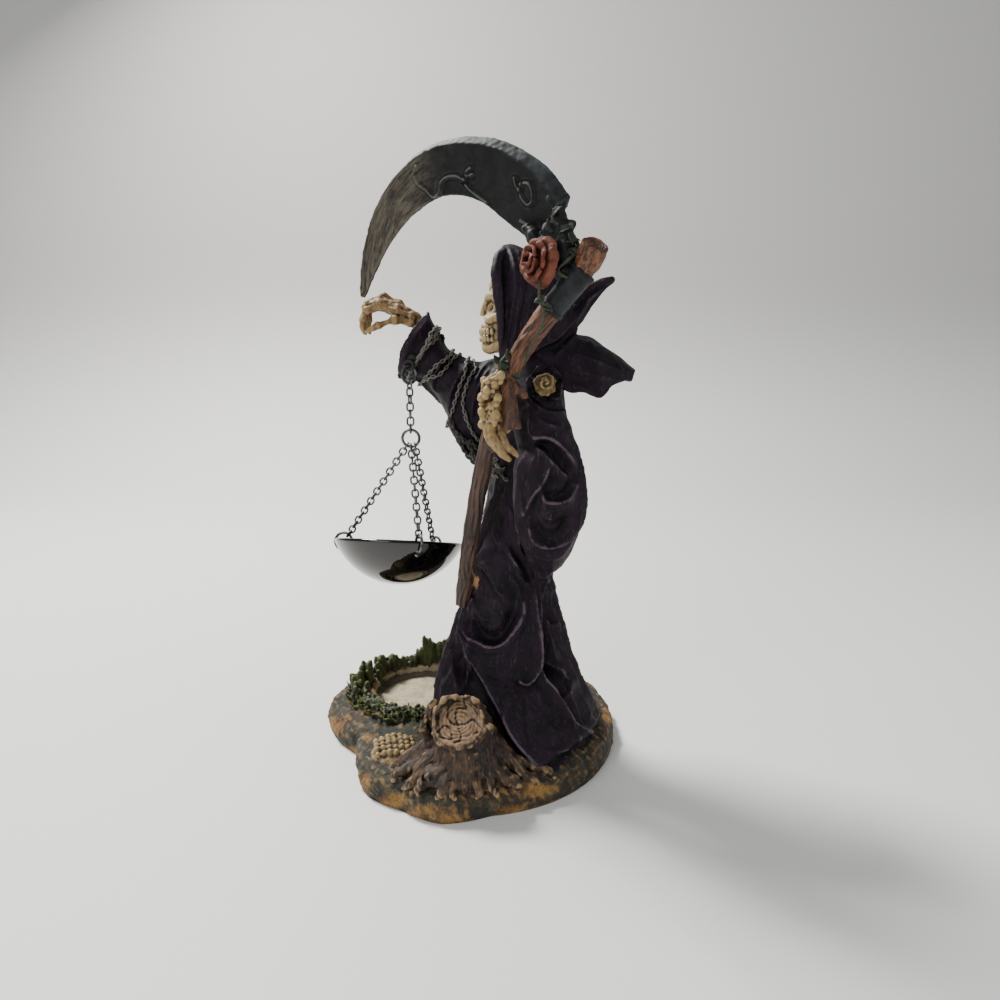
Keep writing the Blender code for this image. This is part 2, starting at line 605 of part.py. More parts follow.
def leaves(bm):
    """The wreath of ivy round the candle recess: leaf blades that lean out, in two uneven rows."""
    top = BASE_THICKNESS / UNIT
    reach = RECESS_DIAMETER / 2 / UNIT
    count = 17
    for k in range(count):
        for row in (0, 1):
            degrees = 62 + 214 * (k + 0.5 * row) / (count - 1)
            a = math.radians(degrees)
            swing = noise.noise(Vector((k * 1.7, row * 5.1, 0.4)))
            r = reach + 2.6 + 5.2 * row + 1.6 * swing
            high = 7.5 + 5.5 * swing + (6.5 if degrees < 165 else 1.0) * (1 - 0.5 * row)
            c = Vector((RECESS_CENTRE.x + r * math.cos(a), RECESS_CENTRE.y + r * math.sin(a), top))
            out = Vector((math.cos(a), math.sin(a), 0))
            side = Vector((-out.y, out.x, 0)) * 3.0 * noise.noise(Vector((k * 2.3, row * 3.7, 1.9)))
            middle = c + out * 1.4 + side * 0.4 + Vector((0, 0, high * 0.5))
            tip = c + out * (3.2 + 1.5 * row) + side + Vector((0, 0, high))
            tube(bm, [(c.x, c.y, top - 2, 3.0), (*middle, 4.3), (*tip, 1.0)], sides=6, steps=2,
                 flat=0.45, across=out)


def shoulder_rose(bm):
    """The rosette on the near shoulder, in its ruffle of cloth."""
    centre = Vector((35.5, -31.5, 181))
    ball(bm, centre, (4.4, 3.4, 4.2))
    for k in range(7):
        a = 2 * math.pi * k / 7
        p = centre + Vector((5.0 * math.cos(a), 0.8, 4.8 * math.sin(a)))
        ball(bm, p, (2.3, 1.9, 2.3), fineness=1)


def shaft(bm, grow=0.0):
    """The crooked wooden snath, knotty along its length, and its turned grip."""
    radius = SHAFT_DIAMETER / 2 / UNIT + grow
    points = []
    for k, p in enumerate(SHAFT_PATH):
        points.append((*p, radius * SHAFT_SWELL[k]))
    tube(bm, points, sides=12, steps=4, round_ends=False)


def grip(bm, grow=0.0):
    half = GRIP_LENGTH / 2 / UNIT
    radius = GRIP_DIAMETER / 2 / UNIT + grow
    a, b = GRIP_CENTRE - GRIP_AXIS * half, GRIP_CENTRE + GRIP_AXIS * (half + grow)
    tube(bm, [(*(a + Vector((-1.0, 2.5, 3))), radius * 0.7), (*a.lerp(b, 0.3), radius * 0.8),
              (*a.lerp(b, 0.8), radius), (*b, radius * 1.05)], sides=12, steps=2, round_ends=False)


def build_figure(material):
    """The one casting: robe, skull, hands, base, trunk and leaves."""
    bm = bmesh.new()
    robe_body(bm)
    ball(bm, (9, -11, 70), (13, 15, 17))
    left_sleeve(bm)
    right_sleeve(bm)
    hood(bm)
    cloth = fuse(mesh_object("reaper_figure", bm), CLAY_VOXEL, smooth=6)
    press_folds(cloth)
    bm = bmesh.new()
    bm.from_mesh(cloth.data)
    bpy.data.objects.remove(cloth)
    for make in (skull, right_hand, left_hand, sleeve_chain, shoulder_rose):
        make(bm)
    for make in (ground, stump, ground_bones, leaves):
        make(bm)
    figure = fuse(mesh_object("reaper_figure", bm), CLAY_VOXEL, smooth=1)
    keep_largest(figure)
    thin_out(figure, FIGURE_TRIANGLES)
    figure.data.transform(Matrix.Scale(UNIT, 4))
    figure.data.update()
    bm = bmesh.new()
    bmesh.ops.create_cube(bm, size=1.0)
    slab = mesh_object("under_cut", bm)
    depth = 0.05
    slab.scale = (1, 1, depth)
    slab.location.z = -depth / 2
    cut(figure, slab)
    bm = bmesh.new()
    height = 0.04
    bmesh.ops.create_cone(bm, cap_ends=True, segments=40, radius1=RECESS_DIAMETER / 2,
                          radius2=RECESS_DIAMETER / 2, depth=height)
    well = mesh_object("recess_cut", bm)
    well.location = RECESS_CENTRE * UNIT
    well.location.z = BASE_THICKNESS - RECESS_DEPTH + height / 2
    cut(figure, well)
    for form in (shaft, grip):
        bm = bmesh.new()
        form(bm, CLEARANCE / UNIT)
        sleeve = mesh_object("scythe_cut", bm)
        sleeve.scale = (UNIT,) * 3
        cut(figure, sleeve)
    bm = bmesh.new()
    place, u, v = hanging_ring_place()
    radius = (RING_OUTER_DIAMETER - RING_WIRE) / 2
    torus(bm, place, radius, RING_WIRE / 2 + CLEARANCE, u, v, RING_TURNS, RING_SIDES)
    cut(figure, mesh_object("ring_cut", bm))
    keep_largest(figure)
    figure.data.materials.clear()
    figure.data.materials.append(material)
    return figure


def blade_outline(count=19):
    """The blade's back and edge in its own plane, from heel to tip, and the share of its length."""
    lines = []
    for knots in (BLADE_BACK_LINE, BLADE_EDGE_LINE):
        line = spline(knots, 6)
        reach = np.concatenate([[0], np.cumsum(np.linalg.norm(np.diff(line, axis=0), axis=1))])
        at = np.linspace(0, reach[-1], count)
        lines.append(np.stack([np.interp(at, reach, line[:, k]) for k in (0, 1)], axis=1))
    return list(zip(*lines, np.linspace(0, 1, count)))


def blade(bm):
    """The crescent blade: thick along its back, thin at its edge, its heel stepped down to the socket."""
    along = (BLADE_TIP - BLADE_ROOT).normalized()
    side = Vector((-along.y, along.x, 0))
    back_half, edge_half = BLADE_BACK_THICKNESS / 2 / UNIT, BLADE_EDGE_THICKNESS / 2 / UNIT

    def place(reach, z, off):
        return BLADE_ROOT + along * reach + Vector((0, 0, z)) + side * off

    rings = []
    for (bx, bz), (ex, ez), s in blade_outline():
        half = back_half * (1 - 0.6 * s)
        bevel = ((bx * 3 + ex) / 4, (bz * 3 + ez) / 4)
        rings.append([place(bx, bz, half), place(*bevel, half), place(ex, ez, edge_half),
                      place(ex, ez, -edge_half), place(*bevel, -half), place(bx, bz, -half)])
    loft(bm, rings)


def rose(bm):
    """The open rose at the blade's root: a ring of rounded petals, a spiral heart."""
    centre, out = Vector((30.6, -57.0, 229.5)), Vector((-0.72, -0.68, 0.12)).normalized()
    r = ROSE_DIAMETER / 2 / UNIT
    ball(bm, centre + out * 0.5, (r * 0.8, r * 0.62, r * 0.8))
    u = out.orthogonal().normalized()
    v = out.cross(u)
    petal_rings = ((7, 0.72, 0.4, -0.1), (5, 0.4, 0.34, 0.35), (3, 0.16, 0.24, 0.62))
    for ring, (count, reach, size, lift) in enumerate(petal_rings):
        for k in range(count):
            a = 2 * math.pi * (k / count) + ring * 0.5
            p = centre + (u * math.cos(a) + v * math.sin(a)) * r * reach + out * r * lift
            ball(bm, p, (r * size,) * 3, fineness=1)
    tube(bm, [(*(centre - out * 1.0), 2.4), (36.5, -51.5, 226, 2.8), (40, -51.2, 223, 2.6)], sides=8, steps=2)


def build_scythe(material):
    """The one casting of snath, grip, socket, blade and rose."""
    bm = bmesh.new()
    shaft(bm)
    grip(bm)
    low, high, end = [Vector(p) for p in SHAFT_PATH[-3:]]
    line = (high - low).normalized()
    half = SOCKET_LENGTH / 2 / UNIT
    middle = low.lerp(high, 0.55)
    radius = SOCKET_DIAMETER / 2 / UNIT
    tube(bm, [(*(middle - line * half), radius * 0.94), (*middle, radius),
              (*(middle + line * half), radius * 1.03)], sides=18, steps=2, round_ends=False)
    knob = KNOB_DIAMETER / 2 / UNIT
    tube(bm, [(*high, knob * 0.8), (*high.lerp(end, 0.5), knob * 0.97), (*end, knob),
              (*(end + (end - high) * 0.12), knob * 0.9)], sides=16, steps=2, round_ends=False)
    blade(bm)
    tube(bm, [(37, -46.8, 252, 3.9), (38.6, -48, 245, 3.7), (40.6, -49.4, 238, 4.2),
              (*(middle + Vector((0.5, 1, 7))), 4.8)], sides=10)
    tube(bm, [(27, -43.6, 243, 3.0), (31, -48, 237, 3.6), (38, -50, 231, 4.2), (45, -51, 228, 4.2)], sides=8)
    tube(bm, [(24, -44.6, 190, 2.2), (27, -51, 198, 1.9), (31, -54.5, 209, 1.8), (32.5, -57.5, 220, 1.7),
              (36, -56, 226, 1.8)], sides=6)
    rose(bm)
    ball(bm, (21, -46.5, 188), (4, 3.6, 3.4))
    scythe = fuse(mesh_object("scythe", bm), 0.55)
    keep_largest(scythe)
    thin_out(scythe, SCYTHE_TRIANGLES)
    scythe.data.transform(Matrix.Scale(UNIT, 4))
    scythe.data.materials.clear()
    scythe.data.materials.append(material)
    return scythe


def dish_turn():
    return Euler((math.radians(-DISH_TIP), math.radians(DISH_ROLL), 0)).to_matrix()


def torus(bm, centre, radius, wire, u, v, turns, sides, stretch=0.0):
    """A closed ring of wire in the plane of u and v; stretch lengthens it along u into an oval link."""
    rows = []
    normal = u.cross(v)
    for k in range(turns):
        a = 2 * math.pi * k / turns
        out = u * math.cos(a) + v * math.sin(a)
        middle = centre + out * radius + u * math.copysign(stretch, math.cos(a))
        rows.append([bm.verts.new(middle - (out * math.cos(b) + normal * math.sin(b)) * wire)
                     for b in np.linspace(0, 2 * math.pi, sides, endpoint=False)])
    for k, row in enumerate(rows):
        after = rows[(k + 1) % turns]
        for j in range(sides):
            n = (j + 1) % sides
            bm.faces.new((row[j], after[j], after[n], row[n]))


def hanging_ring_place():
    """The top ring's middle and plane: it goes through the eye and rests on the eye's lower arc."""
    up = Vector((0, 0, 1))
    eye_low = WRIST_EYE * UNIT - up * (EYE_OUTER_DIAMETER - EYE_WIRE) / 2
    middle = eye_low + up * (EYE_WIRE / 2 + CLEARANCE - (RING_OUTER_DIAMETER / 2 - RING_WIRE))
    return middle, Vector((0.74, 0.67, 0)).normalized(), up


class Ring:
    """A round wire ring in the plane of u and v."""

    def __init__(self, name, centre, outer, u, v, material):
        self.centre, self.u = centre, u.normalized()
        self.v = (v - self.u * v.dot(self.u)).normalized()
        self.radius = (outer - RING_WIRE) / 2
        bm = bmesh.new()
        torus(bm, centre, self.radius, RING_WIRE / 2, self.u, self.v, RING_TURNS, RING_SIDES)
        made = mesh_object(name, bm)
        made.data.materials.append(material)
        made.data.shade_smooth()

    def hook(self, degrees):
        """The middle of the wire at an angle round the ring, and the wire's direction there."""
        a = math.radians(degrees)
        place = self.centre + (self.u * math.cos(a) + self.v * math.sin(a)) * self.radius
        return place, self.v * math.cos(a) - self.u * math.sin(a)

    def facing(self, place):
        """The angle round the ring that faces a place."""
        off = place - self.centre
        return math.degrees(math.atan2(off.dot(self.v), off.dot(self.u)))


def build_chain(name, start_hook, end_hook, material):
    """Oval links from one ring's wire to another's, each joined to the next where they touch.

    The end links straddle the wires that they hang on, and the links between turn a little each,
    so that both ends fit.
    """
    (start, start_wire), (end, end_wire) = start_hook, end_hook
    along = (end - start).normalized()
    reach = RING_WIRE / 2 + LINK_WIRE + CLEARANCE
    start, end = start - along * reach, end + along * reach
    length = (end - start).length
    # Each link bites a little into the next, so the chain is one solid
    hold = (2 - LINK_BITE) * LINK_WIRE
    count = max(2, round((length - hold) / (LINK_LENGTH - hold)))
    step = (length - hold) / count
    link_length = step + hold
    first, last = start_wire.cross(along).normalized(), end_wire.cross(along).normalized()
    other = along.cross(first)
    total = math.atan2(last.dot(other), last.dot(first)) - math.pi / 2 * (count - 1)
    spare = (total + math.pi / 2) % math.pi - math.pi / 2
    radius = (LINK_WIDTH - LINK_WIRE) / 2
    stretch = (link_length - LINK_WIDTH) / 2
    chain = None
    for k in range(count):
        a = k * (math.pi / 2 + spare / (count - 1))
        bm = bmesh.new()
        centre = start + along * (link_length / 2 + step * k)
        torus(bm, centre, radius, LINK_WIRE / 2, along, first * math.cos(a) + other * math.sin(a), LINK_TURNS,
              LINK_SIDES, stretch=stretch)
        link = mesh_object(name, bm)
        chain = cut(chain, link, "UNION") if chain else link
    chain.name = name
    chain.data.materials.clear()
    chain.data.materials.append(material)


def hangings(metal, glass):
    """The rings, chains and dish, hung from the eye under the far cuff."""
    x, up = Vector((1, 0, 0)), Vector((0, 0, 1))
    place, u, v = hanging_ring_place()
    top_ring = Ring("hanging_ring", place, RING_OUTER_DIAMETER, u, v, metal)
    chain_length = UPPER_CHAIN_LINKS * (LINK_LENGTH - 2 * LINK_WIRE) + 2 * LINK_WIRE
    reach = RING_WIRE / 2 + LINK_WIRE + CLEARANCE
    middle = place - up * (chain_length - 2 * reach + RING_OUTER_DIAMETER - RING_WIRE)
    spreader = Ring("spreader_ring", middle, RING_OUTER_DIAMETER, x, up, metal)
    build_chain("upper_chain", top_ring.hook(-90), spreader.hook(90), metal)
    turn = dish_turn()
    dish_place = middle + DISH_OFFSET * UNIT
    build_dish(Matrix.Translation(dish_place) @ turn.to_4x4(), glass)
    for k, side in enumerate(CHAIN_SIDES):
        a = math.radians(FIRST_RIM_HOLE + 360 * k / len(CHAIN_SIDES))
        out = turn @ Vector((math.cos(a), math.sin(a), 0))
        lean = (turn @ up + out * 0.06).normalized()
        hole = dish_place + out * wall_middle(RIM_HOLE_DROP) - turn @ up * RIM_HOLE_DROP
        rim = Ring(f"rim_ring_{side}", hole + lean * (RIM_RING_OUTER_DIAMETER - RING_WIRE) / 2,
                   RIM_RING_OUTER_DIAMETER, out, lean, metal)
        build_chain(f"dish_chain_{side}", spreader.hook(SPREADER_HOOKS[k]), rim.hook(rim.facing(middle)),
                    metal)


def wall_middle(drop):
    """How far the middle of the dish's wall is from its axis, at a depth under the rim."""
    radius = DISH_DIAMETER / 2
    ball_radius = (radius ** 2 + DISH_DEPTH ** 2) / (2 * DISH_DEPTH)
    low = ball_radius - DISH_DEPTH
    return math.sqrt(ball_radius ** 2 - (low + drop) ** 2) - DISH_WALL / 2


def build_dish(place, glass):
    """A shallow round glass dish with a rounded rim and three holes for its rings."""
    radius = DISH_DIAMETER / 2
    ball_radius = (radius ** 2 + DISH_DEPTH ** 2) / (2 * DISH_DEPTH)
    drop = ball_radius - DISH_DEPTH
    widest = math.asin(radius / ball_radius)
    inner_radius = ball_radius - DISH_WALL
    outer = [(ball_radius * math.sin(a), drop - ball_radius * math.cos(a))
             for a in np.linspace(0, widest, 6)]
    inner = [(inner_radius * math.sin(a), drop - inner_radius * math.cos(a))
             for a in np.linspace(widest, 0, 5)]
    rim = (outer[-1][0] + inner[0][0]) / 2
    profile = outer + [(rim, inner[0][1] + DISH_WALL * 0.25)] + inner
    bm = bmesh.new()
    low, high = bm.verts.new((0, 0, profile[0][1])), bm.verts.new((0, 0, profile[-1][1]))
    rows = [[bm.verts.new((r * math.cos(a), r * math.sin(a), z))
             for a in np.linspace(0, 2 * math.pi, DISH_SIDES, endpoint=False)] for r, z in profile[1:-1]]
    for k in range(DISH_SIDES):
        n = (k + 1) % DISH_SIDES
        bm.faces.new((low, rows[0][n], rows[0][k]))
        bm.faces.new((high, rows[-1][k], rows[-1][n]))
        for a, b in zip(rows, rows[1:]):
            bm.faces.new((a[k], a[n], b[n], b[k]))
    dish = mesh_object("oil_dish", bm)
    for k in range(len(CHAIN_SIDES)):
        a = math.radians(FIRST_RIM_HOLE + 360 * k / len(CHAIN_SIDES))
        out = Vector((math.cos(a), math.sin(a), 0.0))
        bm = bmesh.new()
        bmesh.ops.create_cone(bm, cap_ends=True, segments=10, radius1=RIM_HOLE_DIAMETER / 2,
                              radius2=RIM_HOLE_DIAMETER / 2, depth=DISH_WALL * 6)
        drill = mesh_object("hole_cut", bm)
        # The drill stands square to the wall, which leans out by the rim's angle
        steep = out * math.sin(widest) - Vector((0, 0, math.cos(widest)))
        at = out * wall_middle(RIM_HOLE_DROP) - Vector((0, 0, RIM_HOLE_DROP))
        drill.matrix_world = Matrix.Translation(at) @ steep.to_track_quat("Z", "Y").to_matrix().to_4x4()
        cut(dish, drill)
    dish.data.transform(place)
    dish.data.materials.clear()
    dish.data.materials.append(glass)


def main():
    for thing in list(bpy.data.objects):
        bpy.data.objects.remove(thing)
    robe = paint("robe_purple", srgb(38, 26, 40), 0.55)
    iron = paint("painted_iron", srgb(58, 60, 58), 0.5)
    steel = paint("gunmetal_wire", srgb(70, 72, 72), 0.35, 0.9)
    glass = paint("black_glass", srgb(12, 12, 14), 0.06)
    build_figure(robe)
    build_scythe(iron)
    hangings(steel, glass)


main()
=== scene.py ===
import math

import bmesh
import bpy
import numpy as np
from mathutils import Euler, Matrix, Vector, noise
from mathutils.bvhtree import BVHTree


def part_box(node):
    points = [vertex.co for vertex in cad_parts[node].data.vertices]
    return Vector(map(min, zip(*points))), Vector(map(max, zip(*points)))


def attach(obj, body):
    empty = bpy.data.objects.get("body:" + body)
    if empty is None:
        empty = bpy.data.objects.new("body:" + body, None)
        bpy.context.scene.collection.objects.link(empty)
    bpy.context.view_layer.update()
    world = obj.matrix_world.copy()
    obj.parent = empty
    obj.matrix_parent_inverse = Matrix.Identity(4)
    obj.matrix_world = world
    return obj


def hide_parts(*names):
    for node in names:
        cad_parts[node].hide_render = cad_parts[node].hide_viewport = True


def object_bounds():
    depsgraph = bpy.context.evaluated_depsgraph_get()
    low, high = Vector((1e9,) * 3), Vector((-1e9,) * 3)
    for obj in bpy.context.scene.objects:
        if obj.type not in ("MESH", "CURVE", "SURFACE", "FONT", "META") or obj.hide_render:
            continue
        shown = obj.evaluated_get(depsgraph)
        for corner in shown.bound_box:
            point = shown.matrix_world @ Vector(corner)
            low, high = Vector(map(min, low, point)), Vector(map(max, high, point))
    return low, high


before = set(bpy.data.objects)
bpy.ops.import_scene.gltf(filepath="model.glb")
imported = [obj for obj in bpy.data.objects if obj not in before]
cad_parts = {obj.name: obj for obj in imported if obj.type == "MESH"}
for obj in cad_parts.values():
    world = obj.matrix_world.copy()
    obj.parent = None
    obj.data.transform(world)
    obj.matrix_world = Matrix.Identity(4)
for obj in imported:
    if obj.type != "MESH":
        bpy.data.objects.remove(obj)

CAD_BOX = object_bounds()

# The part is this many figure units tall, so a unit is close to a millimetre
UNITS_TALL = 282.2
UNIT = (CAD_BOX[1].z - CAD_BOX[0].z) / UNITS_TALL

# The camera of the photograph, in figure units and degrees
CAMERA_PLACE = (16.0, -352.0, 200.0)
CAMERA_TILT = 12.0
LENS = 27.0
SENSOR = 36.0
PHOTO_SIDE = 1000
PIXELS_PER_UNIT = 2.35

# The casting, in figure units
BASE_THICKNESS = 13.0
RECESS_CENTRE = Vector((-25.0, 28.0, 0.0))
RECESS_RADIUS = 26.5
RECESS_FLOOR = 9.5
GROUND_CORNERS = [(-76, 14), (-70, 1), (-55, -17), (-53, -29), (-44, -52), (-28, -62), (-9, -72), (13, -66),
                  (40, -56), (66, -27), (75, 16), (66, 48), (42, 70), (8, 79), (-30, 82), (-62, 58)]
STUMP_FACE = Vector((-2.0, -56.0, 39.5))
STUMP_LEAN = Vector((-0.1, -0.72, 0.66)).normalized()
STUMP_RADIUS = 10.8

# The scythe, in figure units
SHAFT_PATH = [(-1.5, -15, 78), (0.5, -19, 96), (4, -25, 121), (9.5, -33, 150), (14.5, -40, 170),
              (19.2, -43.5, 185), (26.6, -47, 199), (36.2, -50, 212), (46.2, -53, 224), (51.2, -58.8, 234.6)]
SHAFT_RADIUS = 3.6
SHAFT_SWELL = (1.0, 0.96, 1.02, 1.0, 1.0, 0.9, 1.1, 1.25, 1.2, 1.2)
SOCKET_RADIUS = 5.4
SOCKET_LENGTH = 20.5
KNOB_RADIUS = 5.4
GRIP_CENTRE = Vector((19.6, -46.8, 176.5))
GRIP_AXIS = Vector((2.0, -1.6, -21.0)).normalized()
GRIP_LENGTH = 24.0
GRIP_RADIUS = 3.8
BLADE_ROOT = Vector((36.0, -46.0, 0.0))
BLADE_TIP = Vector((-50.0, 20.0, 0.0))
# The blade's back and edge from heel to tip, in its own plane: reach from the root, and height
BLADE_BACK_LINE = [(-8, 253.3), (5, 267), (25, 278), (46, 282), (66, 280.3), (86, 270), (99.5, 255),
                   (107, 236.5), (109, 220.6)]
BLADE_EDGE_LINE = [(8, 237.6), (22, 247), (36, 256.3), (54, 260.2), (72, 255.3), (88.6, 243.2), (99.9, 229.7),
                   (106.9, 219.8)]
BLADE_BACK = 6.5
BLADE_EDGE = 1.4
ROSE_CENTRE = Vector((28.0, -56.0, 229.8))
ROSE_AXIS = Vector((-0.8, -0.58, 0.1)).normalized()
ROSE_RADIUS = 9.6

# The hardware, in metres
RING_WIRE = 0.0014
LINK_LENGTH = 0.005
LINK_WIRE = 0.001
CLEARANCE = 0.0003
LINK_WIDTH = RING_WIRE + 2 * CLEARANCE + 2 * LINK_WIRE
DISH_DIAMETER = 0.064
DISH_DEPTH = 0.0205
DISH_WALL = 0.0022
DISH_TIP = 16.0
DISH_ROLL = 2.5
FIRST_RIM_HOLE = 175.0
RIM_HOLE_DROP = 0.0042
RIM_HOLE_RADIUS = 0.0018
SPREADER_HOOKS = (-120.0, -90.0, -62.0)
CHAIN_SIDES = ("left", "near", "far")

chance = np.random.default_rng(11)


# Paint and finishes

class Value:
    """A socket of a material. Arithmetic on it adds Math nodes."""

    def __init__(self, finish, socket):
        self.finish, self.socket = finish, socket

    def __add__(self, other):
        return self.finish.math("ADD", self, other)

    def __radd__(self, other):
        return self.finish.math("ADD", other, self)

    def __sub__(self, other):
        return self.finish.math("SUBTRACT", self, other)

    def __rsub__(self, other):
        return self.finish.math("SUBTRACT", other, self)

    def __mul__(self, other):
        return self.finish.math("MULTIPLY", self, other)

    def __rmul__(self, other):
        return self.finish.math("MULTIPLY", other, self)

    def __neg__(self):
        return self.finish.math("MULTIPLY", self, -1.0)

    def above(self, low, high):
        """0 under low, 1 over high, and smooth between."""
        return self.finish.node("ShaderNodeMapRange", {"interpolation_type": "SMOOTHSTEP", "clamp": True},
                                {"Value": self, "From Min": low, "From Max": high})

    def bounded(self):
        return self.finish.math("MULTIPLY", self, 1.0, use_clamp=True)


def rgb(red, green, blue):
    """A screen colour, 0 to 255, as the linear colour that a shader takes."""
    def linear(c):
        c /= 255
        return c / 12.92 if c <= 0.04045 else ((c + 0.055) / 1.055) ** 2.4
    return (linear(red), linear(green), linear(blue), 1.0)


class Finish:
    """A painted finish, built up node by node on a Principled shader."""

    def __init__(self, name):
        self.material = bpy.data.materials.new(name)
        self.material.use_nodes = True
        self.tree = self.material.node_tree
        self.shader = self.tree.nodes["Principled BSDF"]
        self.places = self.node("ShaderNodeTexCoord", {}, {}, "Object")

    def put(self, socket, value):
        if isinstance(value, Value):
            self.tree.links.new(value.socket, socket)
        else:
            socket.default_value = value

    def node(self, kind, settings, sockets, output=0):
        made = self.tree.nodes.new(kind)
        for name, value in settings.items():
            setattr(made, name, value)
        for name, value in sockets.items():
            self.put(made.inputs[name], value)
        return Value(self, made.outputs[output])

    def math(self, operation, a, b, **settings):
        return self.node("ShaderNodeMath", {"operation": operation, **settings}, {0: a, 1: b})

    def mix(self, share, a, b):
        """One colour over another, by a share from 0 to 1."""
        return self.node("ShaderNodeMix", {"data_type": "RGBA", "clamp_factor": True},
                         {0: share, 6: a, 7: b}, 2)

    def read(self, name, output="Fac"):
        """What was worked out for each point of the mesh under this name."""
        return self.node("ShaderNodeAttribute", {"attribute_name": name}, {}, output)

    def grain(self, size, detail=3.0, stretch=None, rough=0.55, places=None, kink=0.0):
        """Cloudy variation about 0 to 1, whose lumps are this large, in metres."""
        places = places or self.places
        if stretch:
            places = self.node("ShaderNodeMapping", {}, {"Vector": places, "Scale": stretch})
        return self.node("ShaderNodeTexNoise", {"noise_dimensions": "3D"},
                         {"Vector": places, "Scale": 1 / size, "Detail": detail, "Roughness": rough,
                          "Distortion": kink})

    def cells(self, size):
        """The distance from the middle of small cells."""
        return self.node("ShaderNodeTexVoronoi", {}, {"Vector": self.places, "Scale": 1 / size}, "Distance")

    def dent(self, height, depth):
        """A bump whose full height is a depth in metres."""
        return self.node("ShaderNodeBump", {}, {"Height": height, "Distance": depth, "Strength": 1.0})

    def wear(self, colour, rough, bump=None, metal=None, coat=0.0):
        self.put(self.shader.inputs["Base Color"], colour)
        self.put(self.shader.inputs["Roughness"], rough)
        if bump:
            self.put(self.shader.inputs["Normal"], bump)
        if metal is not None:
            self.put(self.shader.inputs["Metallic"], metal)
        self.shader.inputs["Coat Weight"].default_value = coat
        return self.material


def robe_finish():
    """Near-black purple paint, dry-brushed lilac grey along the sharpest crests of the folds."""
    f = Finish("robe_paint")
    crest, hollow, streak = f.read("crest"), f.read("swell"), f.read("streak")
    cloud, patch, fine = f.grain(0.009, 4), f.grain(0.024, 3), f.grain(0.0008, 4, rough=0.7)
    hairs = f.grain(0.0013, 4, rough=0.7, stretch=(1, 1, 0.2), kink=0.6)
    near = 1.0 - streak.above(1.0, 6.0)
    base = f.mix(cloud.above(0.35, 0.68), rgb(12, 6, 13), rgb(31, 13, 31))
    base = f.mix(patch.above(0.52, 0.72) * 0.5, base, rgb(18, 17, 12))
    base = f.mix(hollow.above(0.0, 1.0) * 0.4, base, rgb(40, 22, 41))
    base = f.mix((-hollow).above(0.04, 0.7) * 0.92, base, rgb(4, 3, 4))
    rub = ((crest + (fine - 0.5) * 0.12 + (cloud - 0.5) * 0.12).above(0.18, 0.42) * (0.25 + fine)).bounded()
    base = f.mix(rub * 0.55, base, rgb(128, 112, 124))
    base = f.mix((hairs.above(0.55, 0.72) * near * 0.5).bounded(), base, rgb(88, 72, 85))
    chip = (f.read("chip") + (fine - 0.5) * 1.1 - (hairs - 0.5) * 1.4).above(0.55, 0.68)
    base = f.mix(chip, base, rgb(160, 122, 76))
    rough = 0.52 - rub * 0.1 + fine * 0.16
    bump = f.dent(hairs * 0.6 + fine * 0.4 + cloud * 0.4, 0.00025)
    f.shader.inputs["Specular IOR Level"].default_value = 0.22
    return f.wear(base, rough, bump)


def bone_finish(name="bone_paint", light=(184, 164, 120), middle=(138, 110, 70), wash=(44, 27, 14)):
    """Ivory paint with a brown wash that stays in the hollows; where darker colours are given, as for the far
    hand, the wash and the colours are also painted shade.
    """
    f = Finish(name)
    crest, hollow = f.read("crest"), f.read("swell")
    cloud, fine = f.grain(0.0045, 4), f.grain(0.0007, 4, rough=0.7)
    base = f.mix((crest + fine * 0.08 + cloud * 0.14).above(0.05, 0.2), rgb(*middle), rgb(*light))
    # Darker in the hollows: a brown wash, and with the far hand's darker colours also painted shade
    stain_and_shade = (-hollow + (cloud - 0.5) * 0.5 + (fine - 0.5) * 0.2).above(-0.05, 0.26)
    base = f.mix(stain_and_shade * 0.94, base, rgb(*wash))
    pits = (-crest).above(0.015, 0.12)
    base = f.mix(pits * 0.85, base, rgb(*[0.6 * c for c in wash]))
    return f.wear(base, 0.45 + fine * 0.2, f.dent(fine * 0.7 + cloud * 0.6, 0.00016))


def wood_finish():
    """Brown wood, redder and lighter near the blade, its carved grain filled with near-black wash."""
    f = Finish("snath_wood")
    crest, hollow, along = f.read("crest"), f.read("swell"), f.read("grain", "Vector")
    vein = f.grain(0.0009, 4, rough=0.65, places=along, kink=0.5)
    broad = f.grain(0.003, 3, places=along)
    fine = f.grain(0.0005, 3)
    high = f.read("height").above(0.42, 0.8)
    light = f.mix(high, rgb(80, 52, 36), rgb(128, 78, 46))
    base = f.mix(broad.above(0.35, 0.65), f.mix(high, rgb(42, 27, 19), rgb(82, 46, 28)), light)
    base = f.mix((1.0 - vein.above(0.4, 0.54)) * 0.9, base, rgb(17, 11, 8))
    base = f.mix((-hollow).above(0.04, 0.3) * 0.85, base, rgb(14, 9, 7))
    base = f.mix(crest.above(0.04, 0.2) * 0.4, base, f.mix(high, rgb(116, 84, 60), rgb(164, 106, 68)))
    bump = f.dent(vein * 1.2 + fine * 0.2, 0.0003)
    return f.wear(base, 0.48 + fine * 0.15, bump)


